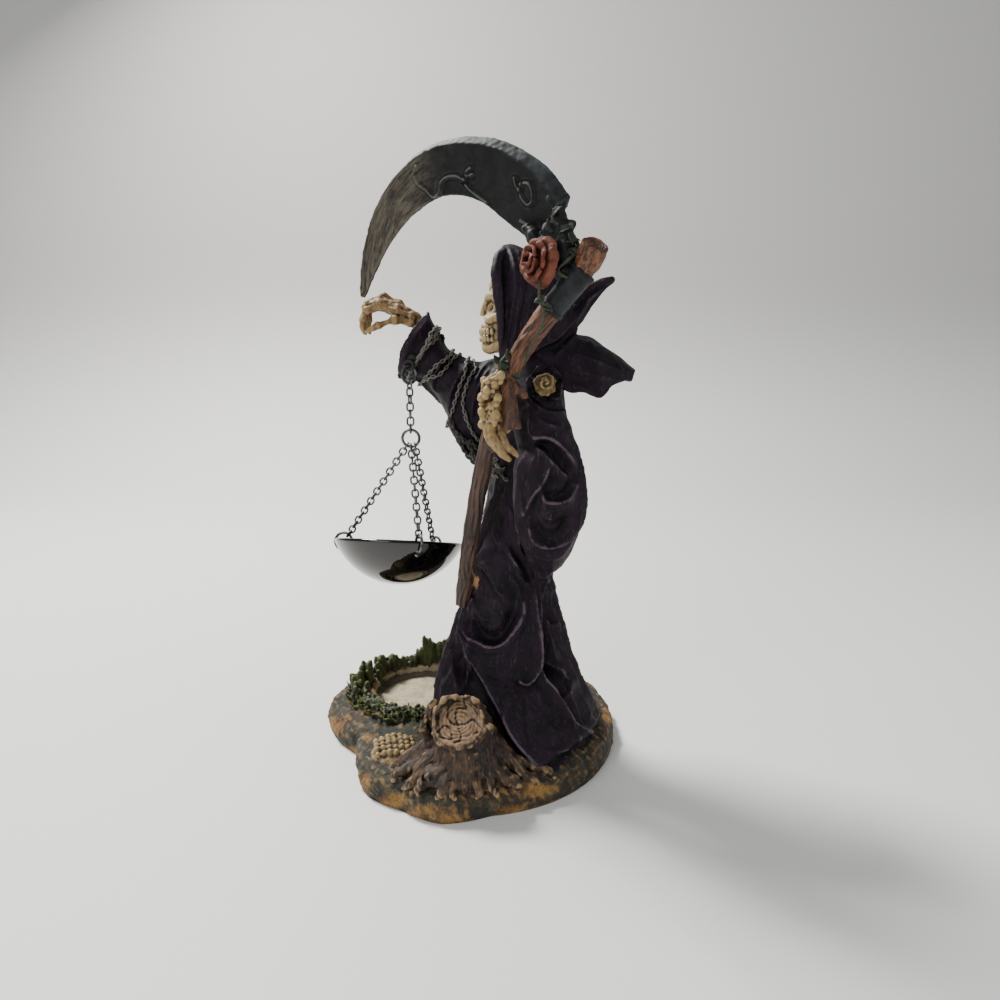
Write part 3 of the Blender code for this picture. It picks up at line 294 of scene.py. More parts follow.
def iron_finish():
    """Dark iron paint, brushed lighter towards the blade's tip, with a lighter blue grey along its back that
    is a painted highlight where the back faces the light from above.
    """
    f = Finish("blade_iron")
    crest, tip, spine = f.read("crest"), f.read("tip"), f.read("spine")
    along = f.read("grain", "Vector")
    brush = f.grain(0.0011, 5, rough=0.72, places=along)
    cloud, fine = f.grain(0.008, 4), f.grain(0.0006, 4, rough=0.7)
    dark = f.mix(cloud.above(0.35, 0.7), rgb(14, 15, 15), rgb(27, 28, 28))
    light = f.mix(brush.above(0.32, 0.66), rgb(36, 34, 30), rgb(104, 95, 82))
    base = f.mix((tip + (cloud - 0.5) * 0.6).above(0.3, 0.85), dark, light)
    base = f.mix(brush.above(0.58, 0.8) * 0.2, base, rgb(88, 90, 86))
    # Lighter blue grey by the spine share: on the blade, a painted highlight on the back that faces up; the
    # socket takes a fixed share of it
    back = f.mix(cloud.above(0.3, 0.7), rgb(34, 39, 42), rgb(62, 69, 73))
    base = f.mix((spine * (0.8 + (cloud - 0.5) * 1.6)).bounded(), base, back)
    base = f.mix((crest + (fine - 0.5) * 0.04).above(0.04, 0.2) * 0.55, base, rgb(108, 116, 104))
    base = f.mix((-crest).above(0.02, 0.16) * 0.85, base, rgb(5, 7, 6))
    bump = f.dent(brush * 0.5 + fine * 0.4, 0.00014)
    f.shader.inputs["Specular IOR Level"].default_value = 0.3
    return f.wear(base, 0.46 + fine * 0.2 + spine * 0.06, bump, metal=0.1)


def rose_finish():
    """Terracotta petals, near black between them and paler along their lips."""
    f = Finish("rose_paint")
    crest, hollow = f.read("crest"), f.read("swell")
    cloud, fine = f.grain(0.003, 3), f.grain(0.0006, 4)
    base = f.mix(cloud.above(0.3, 0.7), rgb(84, 41, 31), rgb(116, 64, 48))
    base = f.mix((-hollow).above(-0.06, 0.24) * 0.95, base, rgb(30, 11, 9))
    base = f.mix((crest + (fine - 0.5) * 0.06).above(0.04, 0.2) * 0.65, base, rgb(164, 106, 82))
    base = f.mix((-crest).above(0.02, 0.14) * 0.8, base, rgb(30, 11, 9))
    f.shader.inputs["Specular IOR Level"].default_value = 0.25
    return f.wear(base, 0.55 + fine * 0.15, f.dent(fine + cloud, 0.00012))


def vine_finish(name, dark, middle, light):
    """Painted stems and leaves: dark below, lighter where a brush has caught the edges."""
    f = Finish(name)
    crest, hollow = f.read("crest"), f.read("swell")
    cloud, fine = f.grain(0.004, 3), f.grain(0.0007, 4)
    base = f.mix(cloud.above(0.3, 0.7), rgb(*dark), rgb(*middle))
    base = f.mix((crest + (fine - 0.5) * 0.1).above(0.02, 0.18) * 0.8, base, rgb(*light))
    base = f.mix((-hollow).above(0.02, 0.3) * 0.8, base, rgb(*[0.4 * c for c in dark]))
    return f.wear(base, 0.5 + fine * 0.2, f.dent(fine, 0.00012))


def ground_finish():
    """Earth: green-grey above, ochre and rust rubbed on the rolled edge, and a cream recess floor with
    painted shade in its hollows.
    """
    f = Finish("ground_paint")
    crest, hollow, floor, ochre = f.read("crest"), f.read("swell"), f.read("floor"), f.read("ochre")
    patch, cloud = f.grain(0.022, 3), f.grain(0.007, 5, rough=0.6)
    stipple, fine = f.cells(0.0009), f.grain(0.0006, 4, rough=0.75)
    scrub = f.grain(0.0022, 4, rough=0.7, stretch=(1, 1, 0.4), kink=1.2)
    dark = f.mix(cloud.above(0.35, 0.65), rgb(23, 24, 18), rgb(58, 59, 46))
    dark = f.mix(patch.above(0.5, 0.68) * 0.75, dark, rgb(60, 44, 27))
    warm = f.mix(cloud.above(0.35, 0.65), rgb(92, 62, 32), rgb(154, 116, 58))
    share = (ochre + (patch - 0.5) * 1.4 + (scrub - 0.5) * 1.1 + (fine - 0.5) * 0.6 - 0.42).above(0.0, 0.5)
    base = f.mix(share, dark, warm)
    base = f.mix((1.0 - stipple.above(0.12, 0.5)) * 0.45, base, rgb(20, 16, 11))
    base = f.mix(scrub.above(0.56, 0.74) * 0.35, base, rgb(120, 110, 76))
    base = f.mix((crest + (fine - 0.5) * 0.3).above(0.03, 0.2) * 0.4, base, rgb(176, 134, 72))
    base = f.mix((-hollow + (cloud - 0.5) * 0.3).above(0.06, 0.6) * 0.88, base, rgb(11, 11, 8))
    cream = f.mix(cloud.above(0.3, 0.7), rgb(150, 138, 110), rgb(198, 187, 158))
    cream = f.mix((fine + cloud).above(1.1, 1.28) * 0.7, cream, rgb(86, 70, 46))
    # The recess floor and wall darken to brown in their hollows: painted shade inside the recess
    cream = f.mix((-hollow).above(0.0, 0.4) * 0.8, cream, rgb(44, 34, 22))
    base = f.mix(floor, base, cream)
    bump = f.dent(stipple * 0.5 + scrub * 0.9 + fine * 0.7 + cloud * 0.8, 0.0005)
    return f.wear(base, 0.6 + fine * 0.22, bump)


def grass_finish():
    """Dark green leaves, dry-brushed olive and straw on their lobes."""
    f = Finish("grass_paint")
    crest, hollow, tip = f.read("crest"), f.read("swell"), f.read("tip")
    cloud, fine = f.grain(0.006, 3), f.grain(0.0007, 4, rough=0.7)
    base = f.mix(cloud.above(0.35, 0.65), rgb(19, 24, 9), rgb(46, 53, 18))
    base = f.mix((tip + (cloud - 0.5) * 0.8).above(0.35, 1.0) * 0.6, base, rgb(62, 74, 24))
    base = f.mix((crest + (fine - 0.5) * 0.12).above(0.03, 0.2) * 0.6, base, rgb(120, 124, 50))
    base = f.mix((-hollow).above(0.02, 0.4) * 0.9, base, rgb(7, 9, 4))
    return f.wear(base, 0.45 + fine * 0.25, f.dent(fine + cloud, 0.0002))


def stump_finish():
    """Bark and cut wood, dark brown with a tan dry brush on every ridge."""
    f = Finish("stump_paint")
    crest, hollow, face = f.read("crest"), f.read("swell"), f.read("face")
    cloud, fine = f.grain(0.007, 4), f.grain(0.0006, 4, rough=0.7)
    fibre = f.grain(0.0012, 4, rough=0.68, places=f.read("grain", "Vector"), kink=0.5)
    base = f.mix(cloud.above(0.35, 0.65), rgb(38, 27, 19), rgb(78, 56, 38))
    base = f.mix(face * 0.7, base, f.mix(cloud.above(0.3, 0.6), rgb(112, 82, 56), rgb(158, 128, 92)))
    base = f.mix((1.0 - fibre.above(0.36, 0.52)) * (0.85 - face * 0.6), base, rgb(15, 11, 8))
    base = f.mix(fibre.above(0.56, 0.72) * (0.55 - face * 0.3), base, rgb(150, 120, 84))
    base = f.mix((-crest).above(0.0, 0.14) * 0.85, base, rgb(19, 13, 9))
    base = f.mix((-hollow).above(0.05, 0.6) * 0.75, base, rgb(15, 11, 8))
    base = f.mix((crest + (fine - 0.5) * 0.12).above(0.04, 0.22) * 0.7, base, rgb(176, 144, 102))
    return f.wear(base, 0.52 + fine * 0.2, f.dent(fibre * 1.0 + fine * 0.5 + cloud * 0.4, 0.00045))


def steel_finish():
    """Blackened wire, worn brighter."""
    f = Finish("gunmetal")
    cloud, fine = f.grain(0.002, 3), f.grain(0.0004, 3)
    base = f.mix(cloud.above(0.35, 0.7), rgb(72, 74, 76), rgb(126, 128, 130))
    return f.wear(base, 0.28 + fine * 0.22, f.dent(fine, 0.00004), metal=0.95)


def glass_finish():
    """Polished black glass with a trace of handling."""
    f = Finish("black_glass")
    smear, dust = f.grain(0.02, 4, stretch=(1, 1, 3)), f.grain(0.0012, 2)
    base = f.mix(dust.above(0.68, 0.8) * 0.12, rgb(5, 5, 6), rgb(70, 70, 74))
    return f.wear(base, 0.03 + smear.above(0.45, 0.8) * 0.09, f.dent(smear, 0.00002), coat=0.5)


# Shapes

def spline(points, steps):
    """Points along a smooth curve through the given ones, which may hold more than three numbers each."""
    p = np.array(points, float)
    p = np.vstack([2 * p[0] - p[1], p, 2 * p[-1] - p[-2]])
    found = []
    for k in range(1, len(p) - 2):
        for t in np.linspace(0, 1, steps, endpoint=False):
            a, b, c, d = p[k - 1], p[k], p[k + 1], p[k + 2]
            found.append(0.5 * (2 * b + (c - a) * t + (2 * a - 5 * b + 4 * c - d) * t * t
                                + (3 * b - a - 3 * c + d) * t ** 3))
    found.append(p[-2])
    return np.array(found)


def loft(bm, rings):
    """A closed solid through rings of equal count, with a flat cap on each end."""
    rows = [[bm.verts.new(p) for p in ring] for ring in rings]
    count = len(rows[0])
    for low, high in zip(rows, rows[1:]):
        for k in range(count):
            n = (k + 1) % count
            bm.faces.new((low[k], low[n], high[n], high[k]))
    bm.faces.new(rows[0][::-1])
    bm.faces.new(rows[-1])


def frames(path):
    """For each point of a path, two directions across it that turn as little as they can."""
    tangents = [Vector(t).normalized() for t in np.gradient(np.array(path, float), axis=0)]
    side = tangents[0].orthogonal().normalized()
    found = []
    for t in tangents:
        side = (side - t * side.dot(t)).normalized()
        found.append((side, t.cross(side), t))
    return found


def tube(bm, points, sides=12, steps=5, flat=1.0, across=None, round_ends=True):
    """A swept solid. Each point is x, y, z and radius; flat squeezes it along the direction across."""
    line = spline(points, steps)
    path, radii = line[:, :3], line[:, 3]
    rings = []
    squeeze = Vector(across).normalized() if across is not None else None
    for place, radius, (u, v, t) in zip(path, radii, frames(path)):
        ring = []
        for k in range(sides):
            a = 2 * math.pi * k / sides
            out = (u * math.cos(a) + v * math.sin(a)) * radius
            if squeeze is not None:
                out -= squeeze * out.dot(squeeze) * (1 - flat)
            ring.append(Vector(place) + out)
        rings.append(ring)
    if round_ends:
        for end, inner in ((0, 1), (-1, -2)):
            middle, last = Vector(path[end]), list(rings[end])
            out = (middle - Vector(path[inner])).normalized() * radii[end]
            for share, reach in ((0.8, 0.5), (0.45, 0.85)):
                cap = [middle + (p - middle) * share + out * reach for p in last]
                rings.insert(0, cap) if end == 0 else rings.append(cap)
    loft(bm, rings)


def ball(bm, centre, radii, turn=(0, 0, 0), fineness=3):
    made = bmesh.ops.create_icosphere(bm, subdivisions=fineness, radius=1.0)["verts"]
    spin = Euler([math.radians(a) for a in turn]).to_matrix()
    for v in made:
        v.co = spin @ Vector([c * r for c, r in zip(v.co, radii)]) + Vector(centre)


def sheet(bm, rows, thickness):
    """A closed shell around a grid of points, given a thickness along their normals."""
    grid = np.array(rows, float)
    normal = np.cross(np.gradient(grid, axis=0), np.gradient(grid, axis=1))
    normal /= np.linalg.norm(normal, axis=2, keepdims=True) + 1e-9
    high, low = [[[bm.verts.new(p) for p in row] for row in grid + normal * thickness * half]
                 for half in (0.5, -0.5)]
    n, m = len(grid), len(grid[0])
    for i in range(n - 1):
        for j in range(m - 1):
            bm.faces.new((high[i][j], high[i + 1][j], high[i + 1][j + 1], high[i][j + 1]))
            bm.faces.new((low[i][j], low[i][j + 1], low[i + 1][j + 1], low[i + 1][j]))
    edge = ([(i, 0) for i in range(n)] + [(n - 1, j) for j in range(1, m)]
            + [(i, m - 1) for i in range(n - 2, -1, -1)] + [(0, j) for j in range(m - 2, 0, -1)])
    for (i, j), (k, l) in zip(edge, edge[1:] + edge[:1]):
        bm.faces.new((high[k][l], high[i][j], low[i][j], low[k][l]))


def arch(bm, sections, thickness, points=31, ragged=0.0):
    """A sheet bent over the figure.

    Each section is its top x, side x, half width, top z, bottom z and middle y.
    """
    rows = []
    for top_x, side_x, half, top, bottom, middle in spline(sections, 7):
        row = []
        for a in np.linspace(-1, 1, points):
            bend = abs(math.sin(a * math.pi / 2)) ** 1.2
            wide = math.sin(min(1.0, abs(a) * 1.35) * math.pi / 2) * math.copysign(1, a)
            x = top_x + (side_x - top_x) * bend
            fall = 1 - math.cos(a * math.pi / 2)
            tear = ragged * fall ** 3 * noise.noise(Vector((x * 0.16, a * 3, 1.5)))
            row.append((x, middle + half * wide, top + (bottom - top) * fall + tear))
        rows.append(row)
    sheet(bm, rows, thickness)


def torus(bm, centre, radius, wire, u, v, turns=36, sides=12, stretch=0.0):
    """A closed ring of wire in the plane of u and v; stretch lengthens it along u into an oval link."""
    rows = []
    normal = u.cross(v)
    for k in range(turns):
        a = 2 * math.pi * (k + 0.5) / turns
        out = u * math.cos(a) + v * math.sin(a)
        middle = centre + out * radius + u * math.copysign(stretch, math.cos(a))
        rows.append([bm.verts.new(middle - (out * math.cos(b) + normal * math.sin(b)) * wire)
                     for b in np.linspace(0, 2 * math.pi, sides, endpoint=False)])
    for k, row in enumerate(rows):
        after = rows[(k + 1) % turns]
        for j in range(sides):
            n = (j + 1) % sides
            bm.faces.new((row[j], after[j], after[n], row[n]))


# Clay: closed forms are melted into one skin, then worked point by point

# The share of a worked skin's faces that is kept
KEPT_FACES = 0.6


def mesh_object(name, bm):
    bmesh.ops.recalc_face_normals(bm, faces=bm.faces)
    mesh = bpy.data.meshes.new(name)
    bm.to_mesh(mesh)
    bm.free()
    made = bpy.data.objects.new(name, mesh)
    bpy.context.collection.objects.link(made)
    return made


def settle(thing):
    """Turns an object's modifiers into its mesh."""
    bpy.context.view_layer.update()
    shaped = thing.evaluated_get(bpy.context.evaluated_depsgraph_get())
    mesh = bpy.data.meshes.new_from_object(shaped)
    thing.modifiers.clear()
    thing.data = mesh
    return thing


def fuse(thing, voxel, smooth=0):
    melt = thing.modifiers.new("melt", "REMESH")
    melt.mode = "VOXEL"
    melt.voxel_size = voxel
    if smooth:
        soften = thing.modifiers.new("soften", "SMOOTH")
        soften.iterations = smooth
        soften.factor = 0.5
    return settle(thing)


def clay(name, bm, voxel, smooth=0):
    """Closed forms melted into one skin, of this fineness and smoothed this many times."""
    return fuse(mesh_object(name, bm), voxel, smooth)


def rod(name, radius, depth, segments):
    bm = bmesh.new()
    bmesh.ops.create_cone(bm, cap_ends=True, segments=segments, radius1=radius, radius2=radius, depth=depth)
    return mesh_object(name, bm)


def cut(thing, cutter):
    tool = thing.modifiers.new("cut", "BOOLEAN")
    tool.operation = "DIFFERENCE"
    tool.solver = "EXACT"
    tool.object = cutter
    settle(thing)
    bpy.data.objects.remove(cutter)
    return thing


def points_of(thing):
    found = np.empty(len(thing.data.vertices) * 3, np.float32)
    thing.data.vertices.foreach_get("co", found)
    return found.reshape(-1, 3).astype(float)


def normals_of(thing):
    found = np.empty(len(thing.data.vertices) * 3, np.float32)
    thing.data.vertices.foreach_get("normal", found)
    return found.reshape(-1, 3).astype(float)


def move_points(thing, place):
    thing.data.vertices.foreach_set("co", place.astype(np.float32).ravel())
    thing.data.update()


def remember(thing, name, values):
    """Keeps a number, or three, for each point, for the finish to read."""
    kind = "FLOAT_VECTOR" if values.ndim == 2 else "FLOAT"
    kept = thing.data.attributes.get(name) or thing.data.attributes.new(name, kind, "POINT")
    kept.data.foreach_set("vector" if values.ndim == 2 else "value", values.astype(np.float32).ravel())


def blurred(thing, values, times):
    """Each point's values, averaged with its neighbours' a number of times."""
    ends = np.empty(len(thing.data.edges) * 2, np.int32)
    thing.data.edges.foreach_get("vertices", ends)
    a, b = ends.reshape(-1, 2).T
    count = len(thing.data.vertices)
    share = np.bincount(a, minlength=count) + np.bincount(b, minlength=count) + 1.0
    values = values.copy()
    for _ in range(times):
        for k in range(values.shape[1]):
            near = (np.bincount(a, values[b, k], minlength=count)
                    + np.bincount(b, values[a, k], minlength=count))
            values[:, k] = (values[:, k] + near) / share
    return values


def lighten(thing, share):
    """Merges the flattest points of a mesh until this share of its faces is left."""
    thin = thing.modifiers.new("thin", "DECIMATE")
    thin.ratio = share
    return settle(thing)


def store_relief(thing, fine=3, broad=25, share=KEPT_FACES):
    """Keeps how far each point stands proud of its near and its wider surroundings, in units."""
    place, normal = points_of(thing), normals_of(thing)
    soft = blurred(thing, place, fine)
    wide = blurred(thing, soft, broad - fine)
    crest = np.sum((place - soft) * normal, axis=1)
    swell = np.sum((place - wide) * normal, axis=1)
    both = blurred(thing, np.stack([crest, swell], axis=1), 1)
    remember(thing, "crest", both[:, 0])
    remember(thing, "swell", both[:, 1])
    if share < 1:
        lighten(thing, share)


def speckle(place, size, seed=0.0):
    """Smooth noise from -1 to 1 at each point, from crossed waves of many directions."""
    spin = np.random.default_rng(int(seed * 10) + 3)
    total = np.zeros(len(place))
    for k in range(14):
        direction = spin.normal(size=3)
        direction *= (0.6 + 0.9 * spin.random()) / np.linalg.norm(direction)
        total += np.sin(place @ direction * (2 * math.pi / size) + spin.random() * 6.3)
    return total / 5.3


def roughen(thing, *layers):
    """Works uneven lumps into a skin, in layers of a height, a size and a seed."""
    place, normal = points_of(thing), normals_of(thing)
    lumps = sum(height * speckle(place, size, seed) for height, size, seed in layers)
    move_points(thing, place + normal * lumps[:, None])


def on_figure(thing, finish):
    """Brings a shaped piece to size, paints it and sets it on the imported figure."""
    thing.data.transform(Matrix.Scale(UNIT, 4))
    fit(thing, finish, "painted_resin", "reaper_figure")


def on_scythe(thing, finish):
    """The same for a piece of the scythe."""
    thing.data.transform(Matrix.Scale(UNIT, 4))
    fit(thing, finish, "scythe_resin", "scythe")


def fit(thing, finish, slot, *nodes):
    thing.data.update()
    thing.data.shade_smooth()
    thing.data.materials.clear()
    thing.data.materials.append(finish)
    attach(thing, "root")
    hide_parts(*nodes)


# The robe: body, sleeves, hood and cape

def body_sections():
    """The robe's body, each as z, middle x, half depth, middle y, half width, and the lean of y with x."""
    return [(3, 26, 42, -11, 41, 0.34), (9, 26, 43, -11, 42, 0.36), (22, 23.5, 40, -9.5, 39.5, 0.34),
            (34, 20.7, 36.2, -8, 34.5, 0.3), (50, 19.9, 30.8, -6, 28.5, 0.2), (65, 20.2, 26.0, -5, 25, 0.1),
            (80, 20.4, 21.8, -4, 23, 0), (96, 21.4, 18.6, -2, 21, 0), (110, 24.2, 17, 0, 20, 0),
            (126, 27, 17, 0, 21, 0), (145, 29, 18, 0, 23, 0), (160, 30, 18, 0, 25, 0),
            (173, 30, 16, 0, 26, 0), (183, 30.5, 14.5, 0, 24, 0), (191, 31, 12, 0, 16, 0),
            (198, 31, 9, 0, 10, 0)]


# How far the hem reaches round the foot, as a direction in degrees and a share of the section
HEM_REACH = [(-180, 1.0), (-117, 0.86), (-92, 0.97), (-76, 1.04), (-66, 0.98), (-53, 0.9), (-26, 0.91),
             (5, 0.98), (60, 1.0), (180, 1.0)]


def clear_of_recess(x, y, z):
    """Pushes a point of the hem out of the candle recess, less and less with height."""
    share = min(1.0, max(0.0, (58 - z) / 30))
    keep = (RECESS_RADIUS + 3.2) * share
    off = Vector((x, y, 0)) - RECESS_CENTRE
    if 0 < off.length < keep:
        off *= keep / off.length
    return RECESS_CENTRE.x + off.x, RECESS_CENTRE.y + off.y, z


def robe_body(bm, sides=72):
    rings = []
    for z, x, depth, y, width, lean in spline(body_sections(), 5):
        ring = []
        for k in range(sides):
            a = 2 * math.pi * k / sides - math.pi
            reach = np.interp(math.degrees(a), *zip(*HEM_REACH))
            reach = 1 + (reach - 1) * min(1, max(0, (38 - z) / 24))
            off = reach * depth * math.cos(a)
            far = 0.5 + 0.5 * math.sin(a)
            ring.append(clear_of_recess(x + off, y + reach * width * math.sin(a) + lean * off * far, z))
        rings.append(ring)
    loft(bm, rings)


def left_sleeve(bm, sides=36):
    """The near sleeve: an upper arm, and a bag of cloth that hangs from the wrist to below the elbow."""
    tube(bm, [(28, -16, 184, 11.5), (31.5, -24, 172, 12), (35.5, -28, 158, 12.5), (39, -28, 146, 12)],
         sides=20)
    bag = [(160.5, 39.5, 6.5, -30, 5), (156, 37, 12, -31, 8), (150, 36.5, 14, -32, 9.5),
           (140, 37, 15.5, -32, 11), (127, 37.5, 15.5, -31, 11.5), (114, 37.5, 13, -29, 10.5),
           (103, 37, 8.5, -27, 8), (95, 35, 3, -25, 4)]
    rings = []
    for z, x, depth, y, width in spline(bag, 5):
        rings.append([(x + depth * math.cos(a), y + width * math.sin(a), z)
                      for a in np.linspace(0, 2 * math.pi, sides, endpoint=False)])
    loft(bm, rings)


def right_sleeve(bm, sides=36):
    """The far sleeve, held forward and open at the cuff.

    Each section is its top x and z, bottom x and z, middle y and half width.
    """
    sections = [(34, 196, 28, 158, 14, 17), (18, 193, 12, 150, 20, 18), (5.2, 190, -3, 149, 22, 17),
                (-3.5, 193, -8.8, 160, 22.5, 15), (-9.6, 196.5, -14.5, 171, 22.5, 13.6),
                (-14.6, 206, -22.5, 179.5, 22, 13), (-19, 213, -32.6, 181.5, 22, 13.2)]
    rings = []
    for k, (top_x, top_z, low_x, low_z, y, wide) in enumerate(spline(sections, 5)):
        top, low = Vector((top_x, y, top_z)), Vector((low_x, y, low_z))
        middle, up = (top + low) / 2, (top - low) / 2
        bulge = 4.6 * max(0, (k - 23) / 7)
        rings.append([middle + Vector((-bulge * abs(math.cos(a)), wide * math.cos(a), 0)) + up * math.sin(a)
                      for a in np.linspace(0, 2 * math.pi, sides, endpoint=False)])
    mouth, last = middle, rings[-1]
    for share, depth in ((0.86, 0), (0.74, 4), (0.52, 12)):
        rings.append([mouth + (p - mouth) * share + Vector((1, 0, -0.35)) * depth for p in last])
    loft(bm, rings)
    tube(bm, [(-19.6, 22, 206, 3.2), (-18.9, 22, 213, 1.2)], sides=10)
    tube(bm, [(-2, 20, 163, 9), (3, 19, 152, 8), (6, 18, 142, 4)], sides=16)


def hood(bm):
    """The cowl around the skull, its tail that flies back, and the cape that flies from the shoulders."""
    arch(bm, [(17.0, 16.5, 11.5, 240.4, 186, 0), (22, 20, 16.5, 240.6, 184, 0), (29, 27, 18, 237.5, 182, 0),
              (38, 36, 16.5, 231, 182, 0), (46, 44, 12, 222, 184, 0), (51, 49, 5, 212, 190, 0)], 3.0)
    for side in (-1, 1):
        tube(bm, [(17.6, 5 * side, 238.8, 1.8), (15.2, 10 * side, 235.4, 2.2), (14.2, 13.4 * side, 229, 2.3),
                  (15.2, 15.4 * side, 218, 2.1), (16.8, 15.6 * side, 204, 2.1),
                  (17.8, 13.5 * side, 192, 2.2)])
    tube(bm, [(40, 0, 213, 12), (47, 0, 212.5, 8.8), (52.5, 0, 216, 5.4), (57.5, 0, 221, 3.8),
              (62, 0, 224.6, 2.8), (66.5, 0, 227, 1.8)], sides=20, flat=0.8, across=(0, 1, 0))
    tube(bm, [(36, 0, 205, 15), (41, 0, 198, 11), (46, 0, 190, 9.5)], sides=20)
    arch(bm, [(33, 33, 19, 202, 180, 0), (45, 44, 20, 201.5, 178.5, 0), (54, 55, 18.5, 200.5, 176.5, 0),
              (60, 61, 17, 198, 174.5, 0), (66, 66, 14, 194, 179, 0), (72.5, 71.5, 11, 189.5, 181, 0),
              (77.6, 75, 8, 185.5, 181, 0)], 3.4, ragged=2.5)


def photo_plane(place):
    """Where points in figure units appear in the photograph, in its pixels, and the way to the camera."""
    off = place - np.array(CAMERA_PLACE)
    tilt = math.radians(CAMERA_TILT)
    depth = off[:, 1] * math.cos(tilt) - off[:, 2] * math.sin(tilt)
    rise = off[:, 1] * math.sin(tilt) + off[:, 2] * math.cos(tilt)
    scale = PHOTO_SIDE * LENS / SENSOR / depth
    seen = np.stack([PHOTO_SIDE / 2 + off[:, 0] * scale, PHOTO_SIDE / 2 - rise * scale], axis=1)
    return seen, -off / np.linalg.norm(off, axis=1, keepdims=True)


def near_spots(place, spots, far):
    """How near, from 0 to 1, each point lies to spots on the photograph, up to a distance y from it."""
    across, down = photo_plane(place)[0].T
    found = np.zeros(len(place))
    for x, y, wide, tall in spots:
        found = np.maximum(found, np.exp(-((across - x) / wide) ** 2 - ((down - y) / tall) ** 2))
    return found * (place[:, 1] < far)


# Folds that the photograph shows, in its pixels. Each is a line, the height and half width of its
# crest, and the depth and reach of the hollow beside it, in units. The hollow lies on the right
# hand of someone who walks the line on the picture, or on the left where its reach is negative.
SLEEVE_FOLDS = [
    ([(531, 441), (540, 438), (552, 440), (563, 448), (572, 459), (578, 470)], 1.7, 1.5, 3.0, 4.5),
    ([(532, 446), (543, 452), (552, 461), (562, 470), (573, 479)], 1.2, 1.4, 1.8, -3.0),
    ([(552, 463), (544, 483), (533, 497), (527, 509), (522, 521)], 1.7, 1.6, 2.2, -4.5),
    ([(515, 459), (508, 474), (506, 493), (509, 507), (516, 517)], 1.5, 2.0, 0, 3),
    ([(526, 449), (519, 468), (516, 493), (515, 508)], 0.7, 1.6, 0.6, 3),
    ([(536, 452), (530, 470), (525, 488), (522, 503)], 0.5, 1.6, 0.3, 3),
    ([(580, 478), (577, 489), (571, 497), (561, 503), (550, 503), (544, 500), (542, 490)],
     1.6, 1.6, 3.0, 4.0),
    ([(575, 497), (561, 509), (549, 511), (541, 505)], 1.0, 1.3, 0.8, 3.0),
    ([(579, 520), (574, 531), (566, 541), (555, 547), (543, 547), (534, 542), (529, 533), (526, 518)],
     2.2, 1.8, 4.4, 6.5),
    ([(572, 536), (562, 550), (549, 554), (538, 550), (529, 541)], 1.0, 1.4, 0.8, 2.5),
    ([(567, 548), (556, 556), (543, 558), (531, 551), (522, 536), (517, 521)], 1.3, 1.6, 1.2, 3),
    ([(562, 516), (552, 520), (543, 517)], 0.8, 1.4, 0.8, 3),
    ([(566, 525), (554, 531), (541, 527), (537, 516)], 0.7, 1.3, 0.6, 2.5),
    ([(515, 517), (520, 529), (519, 541), (523, 553), (532, 563)], 1.3, 1.6, 1.4, -3.5),
    ([(582, 470), (584, 490), (582, 512), (576, 534)], 1.1, 1.8, 0.8, 3.5),
    ([(529, 562), (532, 573), (533, 582)], 0.9, 1.4, 0.8, 2.5),
    ([(540, 566), (545, 577), (541, 586)], 0.9, 1.4, 0.8, 2.5),
    ([(552, 560), (551, 571), (545, 583)], 0.8, 1.4, 0.6, 2.5),
]
UPPER_FOLDS = [
    ([(474, 384), (480, 372), (488, 363), (498, 358)], 1.4, 1.8, 1.2, 3.2),
    ([(484, 388), (490, 376), (497, 368)], 1.1, 1.6, 1.0, 3.0),
    ([(470, 372), (476, 364), (484, 358)], 1.0, 1.6, 1.0, 2.8),
    ([(505, 488), (498, 498), (491, 506), (487, 516), (484, 530), (480, 545)], 1.2, 1.5, 1.0, 3.5),
    ([(506, 497), (495, 508), (489, 520)], 0.8, 1.3, 0.6, 2.5),
    ([(488, 522), (497, 541), (507, 553), (515, 565), (522, 579), (531, 588)], 1.0, 1.3, 1.0, 3.5),
    ([(502, 538), (509, 548), (516, 562), (524, 574)], 0.8, 1.3, 0.8, -2.5),
    ([(476, 562), (484, 568), (490, 578), (496, 590), (504, 600)], 1.2, 1.2, 0.8, 3.0),
    ([(480, 548), (474, 562), (469, 578), (464, 592), (461, 606)], 1.2, 1.8, 0.8, -3.0),
    ([(497, 520), (505, 535), (511, 548)], 0.5, 1.3, 0.4, 2.5),
    ([(512, 575), (519, 590), (523, 606), (524, 620)], 1.0, 1.6, 1.4, 4.0),
    ([(466, 590), (467, 606), (469, 618), (476, 627), (486, 631), (496, 629), (502, 619), (504, 605)],
     1.0, 2.0, 0, 3),
    ([(471, 592), (474, 606), (481, 618), (490, 621)], 0.7, 1.5, 0.7, -2.5),
    ([(477, 590), (483, 602), (492, 612), (499, 612)], 0.6, 1.4, 0.6, -2.5),
    ([(485, 588), (492, 598), (501, 604)], 0.5, 1.3, 0.5, -2.5),
]
